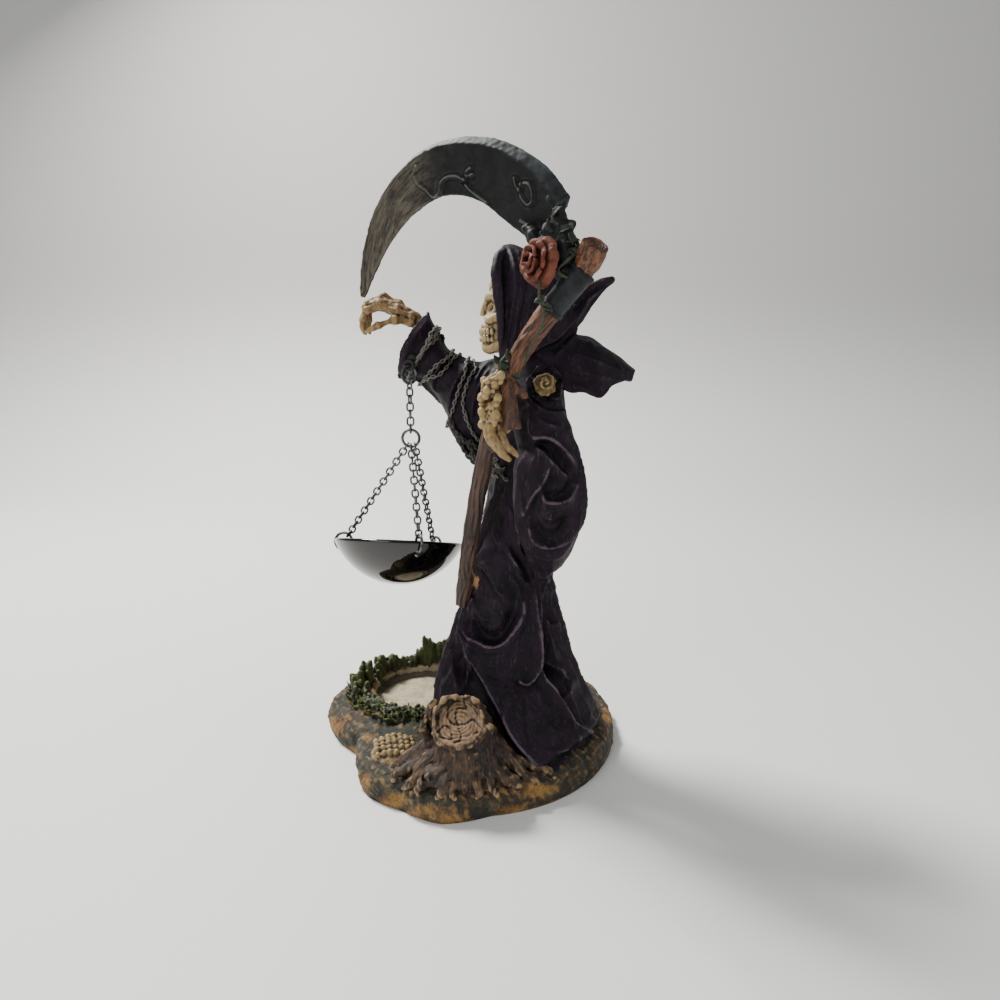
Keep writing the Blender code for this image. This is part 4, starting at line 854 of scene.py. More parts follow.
KNEE_FOLDS = [
    ([(457, 604), (459, 621), (468, 634), (477, 642), (488, 647), (498, 646), (506, 641), (513, 632),
      (520, 620), (523, 604)], 2.6, 1.9, 5.0, -6.5),
    ([(459, 628), (468, 642), (481, 651), (496, 652), (509, 645), (517, 634), (523, 620)],
     1.0, 1.4, 0.9, -2.2),
    ([(461, 636), (469, 648), (482, 657), (496, 658), (509, 651), (519, 640)], 0.6, 1.3, 0.5, -2.2),
    ([(470, 652), (480, 661), (492, 666), (503, 664), (513, 657), (520, 646)], 0.7, 1.4, 0.6, -2.5),
    ([(477, 664), (487, 673), (498, 677), (509, 671), (519, 659)], 0.6, 1.4, 0.5, -2.5),
    ([(484, 678), (494, 687), (504, 689), (514, 682)], 0.5, 1.4, 0.4, -2.5),
    ([(460, 626), (463, 640), (468, 656), (475, 669), (484, 684), (496, 707), (505, 725), (513, 739),
      (523, 752), (537, 764)], 1.7, 1.7, 4.2, 6.5),
    ([(452, 622), (455, 640), (460, 660), (468, 682)], 1.2, 1.5, 1.0, 3.0),
    ([(447, 636), (448, 654), (452, 673), (457, 690)], 1.2, 1.6, 1.4, -3.0),
    ([(444, 640), (441, 658), (441, 676), (443, 694)], 1.0, 1.6, 1.0, 3.0),
    ([(455, 624), (450, 640), (446, 654)], 0.9, 1.3, 0.6, -2.5),
]
SKIRT_FOLDS = [
    ([(533, 580), (534, 600), (535, 622), (538, 645), (539, 663), (535, 678), (527, 685), (520, 683),
      (519, 678)], 2.4, 1.5, 2.4, -4.5),
    ([(542, 596), (539, 615), (540, 641), (542, 661), (545, 677), (552, 688), (561, 698), (564, 709),
      (570, 718), (583, 728), (599, 736)], 2.4, 1.5, 2.8, -4.0),
    ([(547, 590), (545, 609), (549, 619), (555, 624), (560, 622)], 1.6, 1.4, 1.4, -3.0),
    ([(557, 590), (560, 606), (559, 622)], 1.3, 1.4, 1.4, 3.0),
    ([(543, 656), (555, 666), (565, 675), (572, 682), (571, 692), (565, 703)], 1.7, 1.4, 2.2, 4.0),
    ([(536, 686), (540, 701), (551, 711), (562, 717), (574, 724)], 1.0, 1.4, 0.9, 3.0),
    ([(527, 690), (530, 706), (532, 722), (533, 742)], 0.7, 1.5, 0.6, 3.0),
    ([(521, 694), (520, 712), (523, 732), (529, 750)], 0.6, 1.5, 0.5, -3.0),
    ([(507, 704), (504, 716), (507, 729), (517, 744), (532, 759)], 1.2, 1.5, 1.2, 3.5),
    ([(512, 694), (511, 712), (515, 730)], 0.6, 1.4, 0.4, -2.5),
    ([(561, 632), (570, 646), (577, 662), (583, 682), (590, 700), (596, 716)], 1.0, 1.6, 0.9, -3.5),
    ([(553, 632), (560, 650), (570, 666)], 0.9, 1.5, 1.2, -3.5),
    ([(579, 680), (587, 698), (590, 712), (588, 726)], 0.9, 1.4, 0.7, 3.0),
    ([(540, 754), (557, 751), (577, 747), (598, 739)], 0.8, 1.6, 1.0, 3.0),
    ([(545, 722), (556, 731), (568, 736), (584, 739)], 0.6, 1.5, 0.4, 3.0),
    ([(494, 755), (506, 760), (514, 768), (524, 773)], 1.3, 1.5, 0.8, 2.5),
    ([(478, 700), (488, 722), (494, 742), (502, 756)], 0.9, 1.6, 0.9, 3.5),
]
SHOULDER_FOLDS = [
    ([(524, 392), (533, 402), (545, 410), (560, 412), (572, 408)], 1.3, 1.5, 1.4, -3.5),
    ([(527, 402), (536, 414), (548, 424), (562, 427)], 1.1, 1.5, 0.9, -3.0),
    ([(556, 396), (566, 410), (574, 428), (578, 446)], 1.1, 1.5, 0.9, 3.5),
    ([(548, 426), (560, 434), (571, 446)], 0.9, 1.4, 0.8, 2.5),
    ([(529, 420), (531, 434), (540, 443)], 0.9, 1.5, 0.9, 3.0),
    ([(554, 358), (565, 346), (573, 337), (578, 333)], 1.2, 1.4, 1.0, -3.0),
    ([(568, 352), (584, 356), (600, 362), (620, 372)], 0.9, 1.5, 1.2, -3.5),
    ([(566, 370), (582, 374), (598, 376), (616, 380)], 1.0, 1.6, 1.0, 3.5),
    ([(588, 340), (596, 350), (604, 356)], 0.8, 1.4, 0.7, 2.5),
    ([(572, 384), (584, 388), (596, 394)], 0.9, 1.4, 0.6, -2.5),
    ([(612, 352), (618, 362), (624, 372)], 0.7, 1.4, 0.7, -2.5),
]
HOOD_FOLDS = [
    ([(504, 250), (502, 262), (500, 279), (502, 303), (503, 327), (501, 351)], 1.1, 1.4, 0.8, -2.6),
    ([(510, 248), (515, 266), (516, 291), (512, 315), (508, 340), (506, 358)], 1.2, 1.5, 1.0, -3.0),
    ([(519, 250), (522, 266), (523, 285), (520, 304), (516, 330), (511, 354)], 1.2, 1.5, 1.0, -3.0),
    ([(528, 256), (532, 275), (532, 296), (527, 320), (520, 344)], 1.0, 1.5, 0.9, -3.0),
    ([(541, 268), (546, 284), (545, 302), (538, 324)], 0.9, 1.5, 0.8, -3.0),
    ([(608, 279), (597, 283), (586, 289), (576, 300), (566, 314)], 1.3, 1.4, 1.6, -2.8),
    ([(604, 288), (590, 299), (584, 309), (572, 323), (558, 339), (541, 347), (526, 360)],
     1.5, 1.5, 1.2, -3.0),
    ([(572, 302), (562, 316), (552, 330), (540, 340)], 0.9, 1.4, 0.8, 2.6),
    ([(556, 296), (552, 312), (544, 328)], 0.9, 1.4, 0.8, -2.6),
]
FAR_SLEEVE_FOLDS = [
    ([(430, 317), (420, 330), (410, 344), (405, 356), (403, 371)], 1.1, 1.6, 0, 2),
    ([(434, 322), (432, 338), (424, 356), (414, 372)], 0.7, 1.6, 0.8, -3.0),
    ([(449, 352), (440, 366), (434, 380), (436, 394)], 1.3, 1.8, 1.6, -4.0),
    ([(474, 360), (460, 376), (452, 392), (450, 410), (456, 428)], 1.2, 1.8, 1.6, -4.5),
    ([(490, 366), (480, 384), (474, 402), (472, 420)], 0.9, 1.7, 1.0, -3.5),
]
ROBE_FOLDS = SLEEVE_FOLDS + UPPER_FOLDS + KNEE_FOLDS + SKIRT_FOLDS + SHOULDER_FOLDS[:5] + FAR_SLEEVE_FOLDS


def other_sides():
    """Folds on the sides that the photograph doesn't show: a side, and a line across and up it, in units."""
    front, far, back = (-1, 0, 0), (0, 1, 0), (1, 0, 0)
    found = [
        (front, ([(-20, 152), (-10, 124), (0, 98), (4, 80)], 1.8, 1.8, 1.6, 4)),
        (front, ([(12, 148), (6, 120), (0, 92)], 1.6, 1.8, 1.2, -4)),
        (front, ([(16, 186), (22, 172), (34, 166)], 1.3, 1.6, 1.0, 3)),
        (far, ([(36, 184), (22, 170), (4, 160), (-12, 168)], 1.6, 1.8, 1.6, 4)),
        (far, ([(30, 176), (18, 160), (4, 150)], 1.4, 1.7, 1.2, 4)),
        (far, ([(2, 200), (-6, 184), (-4, 168)], 1.2, 1.6, 1.0, -3)),
        (far, ([(-10, 206), (-16, 192), (-14, 178)], 1.2, 1.6, 1.0, -3)),
        (far, ([(42, 170), (34, 150), (22, 136), (6, 128)], 1.7, 1.8, 1.6, 4)),
        (back, ([(-14, 168), (-12, 140), (-18, 112), (-12, 80)], 1.6, 1.8, 1.6, 4)),
        (back, ([(12, 170), (16, 140), (8, 104), (12, 70)], 1.6, 1.8, 1.6, -4)),
        (back, ([(-30, 158), (-34, 138), (-30, 118)], 1.3, 1.7, 1.2, 3.5)),
        (back, ([(-16, 156), (-10, 130), (0, 116), (14, 112)], 1.3, 1.7, 1.2, 4)),
        (back, ([(-8, 240), (-9, 222), (-6, 204)], 1.0, 1.5, 0.8, 3)),
        (back, ([(7, 240), (10, 222), (8, 202)], 1.0, 1.5, 0.8, -3)),
    ]
    for k in range(9):
        x = -10 + 8.5 * k
        strong = 2.4 if k % 3 == 1 else 1.3
        found.append((far, ([(24 + 0.1 * x, 150 - 6 * (k % 3)), (20 + 0.3 * x, 104), (10 + 0.62 * x, 58),
                             (x, 15)], strong, 1.8, strong * 0.8, 4.2)))
    for k in range(8):
        y = -34 + 9.5 * k
        strong = 2.3 if k % 3 == 0 else 1.3
        found.append((back, ([(-2 + 0.2 * y, 148 - 9 * (k % 2)), (0.45 * y, 100), (0.8 * y - 2, 56), (y, 15)],
                              strong, 1.8, strong * 0.8, -4.2)))
        found.append((front, ([(-4 + 0.35 * y, 92 - 7 * (k % 2)), (-4 + 0.7 * y, 52), (y - 4, 15)],
                               strong * 0.8, 1.7, strong * 0.6, 4)))
    return found


def beside_line(seen, line, scale):
    """For each point of a plane: its distance from a line, the side it is on, and its share along it."""
    line = spline(line, 5)
    nearest, side, share = np.full(len(seen), np.inf), np.zeros(len(seen)), np.zeros(len(seen))
    for k, (a, b) in enumerate(zip(line, line[1:])):
        step = b - a
        off = seen - a
        t = np.clip((off @ step) / (step @ step), 0, 1)
        distance = np.linalg.norm(off - t[:, None] * step, axis=1) / scale
        closer = distance < nearest
        turn = step[0] * off[:, 1] - step[1] * off[:, 0]
        nearest = np.where(closer, distance, nearest)
        side = np.where(closer, np.sign(turn), side)
        share = np.where(closer, (k + t) / (len(line) - 1), share)
    return nearest, side, share


def press_folds(thing, photo_folds, side_folds):
    """Works the folds into a cloth skin, and keeps each point's distance from the nearest one."""
    place, normal = points_of(thing), normals_of(thing)
    raised, streak = np.zeros(len(place)), np.full(len(place), 30.0)
    seen, to_camera = photo_plane(place)
    jobs = [(seen, np.sum(normal * to_camera, axis=1), PIXELS_PER_UNIT, 1, fold) for fold in photo_folds]
    for side, fold in side_folds:
        axes = [1, 2] if side[0] else [0, 2]
        jobs.append((place[:, axes], normal @ np.array(side), 1.0, -1, fold))
    for seen, facing, scale, hand, (line, height, width, depth, reach) in jobs:
        turned = np.clip((facing - 0.05) * 2.2, 0, 1)
        margin = (abs(reach) * 2 + 12) * scale
        low, high = np.min(line, axis=0) - margin, np.max(line, axis=0) + margin
        near = np.where((turned > 0) & np.all((seen > low) & (seen < high), axis=1))[0]
        distance, side, share = beside_line(seen[near], line, scale)
        ends = np.clip(np.minimum(share, 1 - share) / 0.12, 0, 1)
        crest = height * (0.72 * np.exp(-(distance / (1.25 * width)) ** 2)
                          + 0.28 * np.clip(1 - distance / (0.6 * width), 0, 1))
        into = np.clip(distance * side * hand * np.sign(reach), 0, None) / abs(reach) * 2.0
        hollow = depth * into * np.exp(1 - into)
        raised[near] += (crest - hollow) * turned[near] * (0.25 + 0.75 * ends)
        streak[near] = np.where(turned[near] > 0.15, np.minimum(streak[near], distance), streak[near])
    raised += 0.3 * speckle(place, 11, 0.3) + 0.08 * speckle(place, 3.2, 0.5)
    move_points(thing, place + normal * raised[:, None])
    remember(thing, "streak", np.clip(streak, 0, 30))


def roll_hem(thing):
    """Turns the robe's lower edge out over the ground, with a dark undercut."""
    place, normal = points_of(thing), normals_of(thing)
    flat = normal.copy()
    flat[:, 2] = 0
    z = place[:, 2]
    outside = np.hypot(place[:, 0] - 24, place[:, 1] + 6) > 20
    hem = 16.5 + 1.2 * np.sin(np.arctan2(place[:, 1], place[:, 0] - 24) * 5)
    roll = 1.5 * np.exp(-((z - hem - 1.5) / 2.2) ** 2) - 2.2 * np.exp(-((z - hem + 2.4) / 1.4) ** 2)
    move_points(thing, place + flat * (roll * outside)[:, None])


# The chip in the robe's paint beside the shaft, in the photograph's pixels: middle, width and height
CHIP = (476, 582, 4, 9)


def make_robe(paint):
    bm = bmesh.new()
    robe_body(bm)
    ball(bm, (9, -11, 70), (13, 15, 17))
    left_sleeve(bm)
    right_sleeve(bm)
    robe = clay("carved_robe", bm, 0.72, 14)
    press_folds(robe, ROBE_FOLDS, other_sides())
    roll_hem(robe)
    remember(robe, "chip", near_spots(points_of(robe), [CHIP], 0))
    store_relief(robe)
    skin = BVHTree.FromPolygons([v.co[:] for v in robe.data.vertices],
                                [p.vertices[:] for p in robe.data.polygons])
    on_figure(robe, paint)
    return skin


def make_hood(paint):
    bm = bmesh.new()
    hood(bm)
    cowl = clay("carved_hood_and_cape", bm, 0.6, 8)
    press_folds(cowl, HOOD_FOLDS + SHOULDER_FOLDS[5:], other_sides()[12:14])
    store_relief(cowl)
    on_figure(cowl, paint)


# Bones

def carve(thing, hollows):
    """Cuts egg-shaped hollows, each a middle, three radii and a turn."""
    bm = bmesh.new()
    for middle, radii, turn in hollows:
        ball(bm, middle, radii, turn)
    return cut(thing, clay("hollows", bm, 0.4))


def make_skull(paint):
    """A plain skull in the hood: brow, cheekbones, open nose and two rows of teeth."""
    bm = bmesh.new()
    ball(bm, (27, 0, 220), (15.5, 11.5, 15))
    ball(bm, (17.6, 0, 221.5), (6.9, 9.0, 9.0))
    ball(bm, (17.8, 0, 211), (8.4, 8.6, 9.5))
    ball(bm, (16.5, 0, 200.5), (8.4, 6.6, 6.2))
    ball(bm, (11.4, 0, 197), (4.0, 4.8, 3.2))
    ball(bm, (13.2, 0, 206), (6.2, 5.6, 3.2))
    tube(bm, [(10.8, 0, 217.6, 1.9), (8.6, 0, 214, 1.5), (7.7, 0, 211.4, 1.1)], sides=10)
    for side in (-1, 1):
        tube(bm, [(10.4, 0.8 * side, 218.4, 1.4), (10.8, 4 * side, 219.4, 1.7), (13.2, 7.8 * side, 219, 1.7),
                  (16, 9.4 * side, 215.6, 1.6), (16.4, 9.6 * side, 212, 1.6)], sides=10)
        tube(bm, [(9.6, 2.6 * side, 210.2, 1.2), (11.6, 6.2 * side, 209.2, 1.9), (15, 8.8 * side, 210.4, 2.0),
                  (20, 10.4 * side, 212.5, 1.7), (27, 11.5 * side, 213, 1.5)], sides=10)
        tube(bm, [(10, 3.0 * side, 196.6, 2.1), (14, 6 * side, 197.2, 2.2), (20, 8.6 * side, 200.5, 2.3),
                  (26, 10 * side, 205, 2.4), (28, 10 * side, 213, 2.0)], sides=10)
    head = clay("skull", bm, 0.42, 4)
    hollows = [((6.8, 0, 209.4), (2.2, 1.5, 1.9), (0, 0, 0)), ((8, 0, 202.2), (4.4, 7.4, 0.5), (0, 0, 0))]
    for side in (-1, 1):
        hollows.append(((10.2, 5.4 * side, 214.2), (3.0, 3.0, 2.9), (0, 0, 0)))
        hollows.append(((17.5, 11.2 * side, 217.6), (3.6, 2.2, 3.2), (0, 0, 0)))
        hollows.append(((15.5, 8.8 * side, 205.2), (3.0, 2.0, 2.4), (0, 0, 0)))
    carve(head, hollows)
    bm = bmesh.new()
    bm.from_mesh(head.data)
    bpy.data.objects.remove(head)
    for row, (z, long) in enumerate(((203.9, 1.7), (200.7, 1.5))):
        for k in range(-5, 6):
            a = k * 0.27
            reach = 6.8 - 0.3 * row
            place = (13.8 - reach * math.cos(a), 5.7 * math.sin(a), z + 0.2 * math.cos(k * 2.1))
            ball(bm, place, (0.95, 0.8, long), (0, 0, math.degrees(a)), fineness=2)
    head = clay("skull", bm, 0.3, 1)
    place, normal = points_of(head), normals_of(head)
    seams = np.exp(-((speckle(place, 17, 0.9)) / 0.09) ** 2)
    worn = 0.22 * speckle(place, 5, 0.4) + 0.1 * speckle(place, 2, 0.2) - 0.3 * seams * (place[:, 2] > 219)
    move_points(head, place + normal * worn[:, None])
    store_relief(head, broad=22)
    on_figure(head, paint)


def bone(bm, start, end, radius, swell=1.35):
    """One finger or arm bone, knuckled at its ends."""
    a, b = Vector(start), Vector(end)
    tube(bm, [(*a, radius * swell), (*a.lerp(b, 0.2), radius * 0.95), (*a.lerp(b, 0.5), radius * 0.72),
              (*a.lerp(b, 0.8), radius * 0.95), (*b, radius * swell)], sides=10, steps=3)


def make_right_hand(paint):
    """The far hand, palm down, its fingers close together and bent, and the thumb below a hollow."""
    bm = bmesh.new()
    for y, lift in ((19.6, 0.8), (24.2, -0.4)):
        tube(bm, [(-15, y, 197 + lift, 2.4), (-19, y, 202.5 + lift, 2.2), (-25, y, 208.6 + lift, 2.9)])
    for k in range(6):
        ball(bm, (-26.5 - (k % 2) * 2.2, 16.6 + 2.1 * k, 210.5 + (k % 3) * 0.9), (2.3, 2.0, 2.1), fineness=2)
    for k in range(4):
        y = 15.8 + 3.7 * k
        reach = (0, 1.0, 0.8, -0.6)[k]
        low = 1.5 * (1.5 - k)
        knuckle = (-33.5, y, 215.6 + 0.4 * reach - low)
        middle = (-41.4 - reach, y - 0.4, 218.8 - low)
        last = (-47.4 - reach, y - 0.4, 216.4 - low)
        bone(bm, (-26.5, 18.0 + 2.3 * k, 211.5), knuckle, 2.1, 1.2)
        bone(bm, knuckle, middle, 2.0, 1.2)
        bone(bm, middle, last, 1.9, 1.18)
        bone(bm, last, (-49.2 - reach, y, 209.5), 1.7, 1.15)
        tube(bm, [(-49.2 - reach, y, 209.8, 1.7), (-49.4 - reach, y, 206, 1.3),
                  (-48.8 - reach, y, 203.4, 0.8)], sides=10)
    tube(bm, [(-25, 21, 209.5, 4.0), (-33, 21.5, 214, 3.6), (-41, 21.5, 217, 3.2), (-46, 21.5, 215.5, 2.6)],
         sides=16)
    bone(bm, (-27, 16.4, 208.5), (-34, 13.4, 209.6), 2.2, 1.2)
    bone(bm, (-34, 13.4, 209.6), (-41.6, 12.8, 207.2), 1.7, 1.25)
    tube(bm, [(-41.6, 12.8, 207.2, 1.9), (-45, 13.2, 205.4, 1.4), (-47.6, 13.8, 204.2, 0.8)], sides=10)
    hand = clay("right_hand_bones", bm, 0.34, 2)
    roughen(hand, (0.2, 4.5, 0.4), (0.08, 1.9, 0.2))
    store_relief(hand, broad=18)
    on_figure(hand, paint)


def make_left_hand(paint):
    """The near hand, a fist of bones round the grip, its arm bones running into the sleeve."""
    bm = bmesh.new()
    out = Vector((-1, 0, 0))
    out = (out - GRIP_AXIS * out.dot(GRIP_AXIS)).normalized()
    near = out.cross(GRIP_AXIS).normalized()
    if near.y > 0:
        near = -near
    run = [(-4.5, 2.6, -2.0), (-1.6, 8.0, 1.6), (2.2, 8.8, 2.8), (5.0, 6.2, 0.8), (6.0, 2.6, -1.4)]
    for k, (stagger, count) in enumerate(((0, 5), (1.6, 5), (1.0, 5), (-1.4, 4))):
        middle = GRIP_CENTRE + GRIP_AXIS * (-9.2 + 4.7 * k) + out * (0.6 + stagger)
        joints = [middle + near * n + out * (o + 0.8 * math.sin(4.1 * k + 2.7 * j))
                  + GRIP_AXIS * (g + 0.9 * math.sin(2.3 * k + 5.1 * j))
                  for j, (n, o, g) in enumerate(run[:count])]
        for j, (a, b) in enumerate(zip(joints, joints[1:])):
            bone(bm, a, b, 1.5 - 0.08 * j, 1.3)
        for j, joint in enumerate(joints[1:]):
            size = 2.0 - 0.1 * j + 0.32 * math.sin(3.1 * k + 2.3 * j)
            ball(bm, joint, (size, size * 0.95, size * 1.1), fineness=2)
            ball(bm, joint + GRIP_AXIS * 2.4 + out * 0.9 * math.sin(5.7 * k + j), (size * 0.66,) * 3,
                 fineness=2)
    palm = GRIP_CENTRE + near * -3.0 + out * 4.5
    for k in range(4):
        bone(bm, palm + GRIP_AXIS * (-7 + 4.6 * k), (13 + k * 0.8, -43, 164.5 - 0.5 * k), 2.1)
    for k in range(7):
        ball(bm, (9.0 + 1.9 * k, -45.6 + 0.8 * k, 166.5 - 1.1 * (k % 3)), (2.1, 1.9, 2.2), fineness=2)
    for x, y, long in ((11.4, -45.2, 0.0), (14.6, -43.2, 1.4)):
        tube(bm, [(x, y, 166, 3.0), (x + 1.2, y - 0.4, 161, 2.8), (x + 3.6, y, 157, 2.3),
                  (x + 6.2, y + 1.6, 153.6 + long, 1.7), (x + 8.6, y + 4, 151.2 + long, 1.0)], sides=12)
    hand = clay("left_hand_bones", bm, 0.34, 1)
    roughen(hand, (0.2, 4.5, 0.4), (0.1, 1.9, 0.2))
    store_relief(hand, broad=16)
    on_figure(hand, paint)


# Loops of chain round the far sleeve: each one's top x and z, bottom x and z, middle y and half width
SLEEVE_LOOPS = [(-12.8, 206.5, -28.5, 183, 22, 14.8), (-6, 195.8, -22, 180.4, 22.5, 15.4),
                (1, 192.5, -9, 160.2, 22.5, 16.8)]

# Chain that lies on the cloth, in the photograph's pixels
CHAIN_LINES = [
    [(447, 334), (438, 326), (430, 336), (424, 350), (417, 362), (409, 372)],
    [(423, 379), (433, 377), (444, 370), (451, 361), (459, 356), (470, 357)],
    [(470, 357), (475, 366), (470, 379), (465, 394), (464, 406), (468, 418)],
    [(436, 338), (428, 346), (420, 356), (412, 360)],
    [(452, 424), (457, 436), (463, 446), (470, 454), (478, 460)],
    [(466, 416), (472, 430), (480, 440), (490, 448)],
    [(497, 458), (500, 470), (506, 478), (512, 482)],
    [(484, 466), (493, 474), (503, 477)],
]
BELT_LINES = [
    [(452, 420), (458, 434), (464, 446), (472, 458), (484, 466), (496, 470), (508, 468)],
    [(454, 428), (466, 440), (474, 452), (482, 474)],
    [(470, 440), (478, 448), (486, 456), (500, 462)],
]


def chain_along(bm, points, length=3.1, wire=0.42, width=2.0):
    """Open links laid end to end along a path, each turned across the last."""
    path = spline(points, 24)
    steps = np.linalg.norm(np.diff(path, axis=0), axis=1)
    reach = np.concatenate([[0], np.cumsum(steps)])
    pitch = length - 2.4 * wire
    for k in range(int(reach[-1] / pitch)):
        s = (k + 0.5) * pitch
        here, after = [Vector([np.interp(s + d, reach, path[:, i]) for i in range(3)]) for d in (-0.4, 0.4)]
        along = (after - here).normalized()
        side = along.cross(Vector((0.3, -0.9, 0.2))).normalized()
        if k % 2:
            side = along.cross(side)
        radius = (width - wire * 2) / 2
        torus(bm, (here + after) / 2, radius, wire, along, side, 12, 6, stretch=(length - width) / 2)


def through_pixel(pixel):
    """The direction from the camera through a pixel of the photograph."""
    tilt = math.radians(CAMERA_TILT)
    scale = PHOTO_SIDE * LENS / SENSOR
    across, rise = (pixel[0] - PHOTO_SIDE / 2) / scale, (PHOTO_SIDE / 2 - pixel[1]) / scale
    return Vector((across, math.cos(tilt) + rise * math.sin(tilt), rise * math.cos(tilt) - math.sin(tilt)))


def laid_on(skin, pixels, proud=0.9):
    """A line of photograph pixels, dropped from the camera onto a skin and lifted off it a little."""
    found = []
    for pixel in spline(pixels, 4):
        place, normal, _, _ = skin.ray_cast(Vector(CAMERA_PLACE), through_pixel(pixel).normalized())
        if place:
            found.append(tuple(place + normal * proud))
    return found


def make_sleeve_chain(skin, paint, belt_paint):
    """The moulded chain that is wound round the far sleeve, over the chest and down to the belt."""
    bm = bmesh.new()
    for top_x, top_z, low_x, low_z, y, wide in SLEEVE_LOOPS:
        top, low = Vector((top_x, y, top_z)), Vector((low_x, y, low_z))
        middle, up = (top + low) / 2, (top - low) / 2
        ring = []
        for a in np.linspace(0, 2 * math.pi, 33):
            out = Vector((0, 1, 0)) * wide * math.cos(a) + up * math.sin(a)
            place, normal, _, _ = skin.ray_cast(middle + out * 1.8, -out.normalized())
            ring.append(tuple(place + normal * 0.9) if place else tuple(middle + out))
        chain_along(bm, ring)
    for line in CHAIN_LINES:
        chain_along(bm, laid_on(skin, line))
    chain = mesh_object("sleeve_chain", bm)
    store_relief(chain, fine=2, broad=5, share=1.0)
    on_figure(chain, paint)
    bm = bmesh.new()
    for line in BELT_LINES:
        chain_along(bm, laid_on(skin, line, 0.9), length=4.0, wire=0.85, width=3.2)
    belt = mesh_object("belt_chain", bm)
    store_relief(belt, fine=2, broad=5, share=1.0)
    on_figure(belt, belt_paint)


def make_wrist_eye(paint):
    """The eye under the far cuff that the top ring hangs in, and the lump that carries it."""
    eye = Vector((-26.8, 6.6, 188.6))
    bm = bmesh.new()
    torus(bm, eye, 1.95, 1.0, Vector((1, 0, 0)), Vector((0, 0, 1)))
    ball(bm, eye + Vector((1.5, 3.4, 3.4)), (2.9, 3.2, 2.6))
    lug = clay("wrist_eye", bm, 0.3, 1)
    store_relief(lug, broad=12)
    on_figure(lug, paint)


# The ground, the stump and what grows on them

def ground_outline(turn, inset=0.0):
    """A point of the base's edge at an angle: a rounded, uneven many-sided plate."""
    angles = np.unwrap([math.atan2(y, x) for x, y in GROUND_CORNERS])
    order = np.argsort(angles)
    reach = np.array([math.hypot(*c) for c in GROUND_CORNERS])[order]
    angles = angles[order]
    r = np.interp((turn - angles[0]) % (2 * math.pi) + angles[0],
                  np.append(angles, angles[0] + 2 * math.pi), np.append(reach, reach[0]))
    return (r - inset) * math.cos(turn), (r - inset) * math.sin(turn)


# Where ochre is rubbed on the near ground, in the photograph's pixels: middle, width and height
OCHRE_SPOTS = [(334, 724, 12, 14), (364, 782, 11, 17), (392, 800, 24, 12), (425, 812, 26, 13),
               (452, 822, 26, 10), (368, 737, 9, 6), (470, 772, 16, 10), (536, 789, 25, 10),
               (508, 810, 22, 7), (608, 712, 8, 12), (352, 752, 8, 8), (410, 764, 16, 6)]


def make_ground(paint):
    """The earth under the figure: a plate with a rolled edge, pitted all over, sunk for a candle."""
    bm = bmesh.new()
    rows = [(-3, 0.6, 0.2), (0.05, 0.5, 0.1), (0.25, 0.0, 0.0), (0.55, 0.2, 0.3), (0.82, 1.8, 1.0),
            (1.0, 5.0, 1.6), (1.06, 12, 2.0), (1.1, 34, 2.0)]
    rings = []
    for share, inset, rough in rows:
        ring = []
        for a in np.linspace(0, 2 * math.pi, 160, endpoint=False):
            x, y = ground_outline(a, inset + 0.8)
            z = BASE_THICKNESS * share if share > 0 else share
            ring.append((x, y, z + noise.noise(Vector((x, y, 0)) * 0.06) * rough))
        rings.append(ring)
    loft(bm, rings)
    plate = mesh_object("ground_base", bm)
    tall = 40
    well = rod("well", RECESS_RADIUS, tall, 120)
    well.location = (RECESS_CENTRE.x, RECESS_CENTRE.y, RECESS_FLOOR + tall / 2)
    cut(plate, well)
    fuse(plate, 0.8, smooth=3)
    place, normal = points_of(plate), normals_of(plate)
    from_well = np.hypot(place[:, 0] - RECESS_CENTRE.x, place[:, 1] - RECESS_CENTRE.y)
    floor = np.clip((RECESS_RADIUS + 0.9 - from_well) / 1.4, 0, 1) * (place[:, 2] > 5)
    lumps = 0.75 * speckle(place, 13, 0.1) + 0.4 * speckle(place, 5, 0.7) + 0.22 * speckle(place, 2.6, 0.9)
    pits = -0.5 * np.clip(speckle(place, 4, 1.3) - 0.7, 0, 1)
    share = np.clip(place[:, 2] / 3, 0, 1) * np.clip(from_well - RECESS_RADIUS + 0.5, 0, 1)
    place = place + normal * ((lumps + pits) * share)[:, None]
    place[:, 2] += 1.6 * np.exp(-((from_well - RECESS_RADIUS - 2.2) / 2.4) ** 2) * (place[:, 2] > 8)
    place[place[:, 2] < 0.45, 2] = 0
    move_points(plate, place)
    remember(plate, "floor", floor)
    behind = 10
    ochre = np.where(place[:, 1] > behind, 0.55 * np.clip((BASE_THICKNESS - place[:, 2]) / 8, 0, 1), 0.0)
    ochre = np.maximum(ochre, near_spots(place, OCHRE_SPOTS, behind))
    ochre = np.maximum(ochre, np.exp(-((from_well - RECESS_RADIUS - 1.5) / 2.0) ** 2) * 0.5)
    remember(plate, "ochre", ochre)
    store_relief(plate, broad=22)
    on_figure(plate, paint)


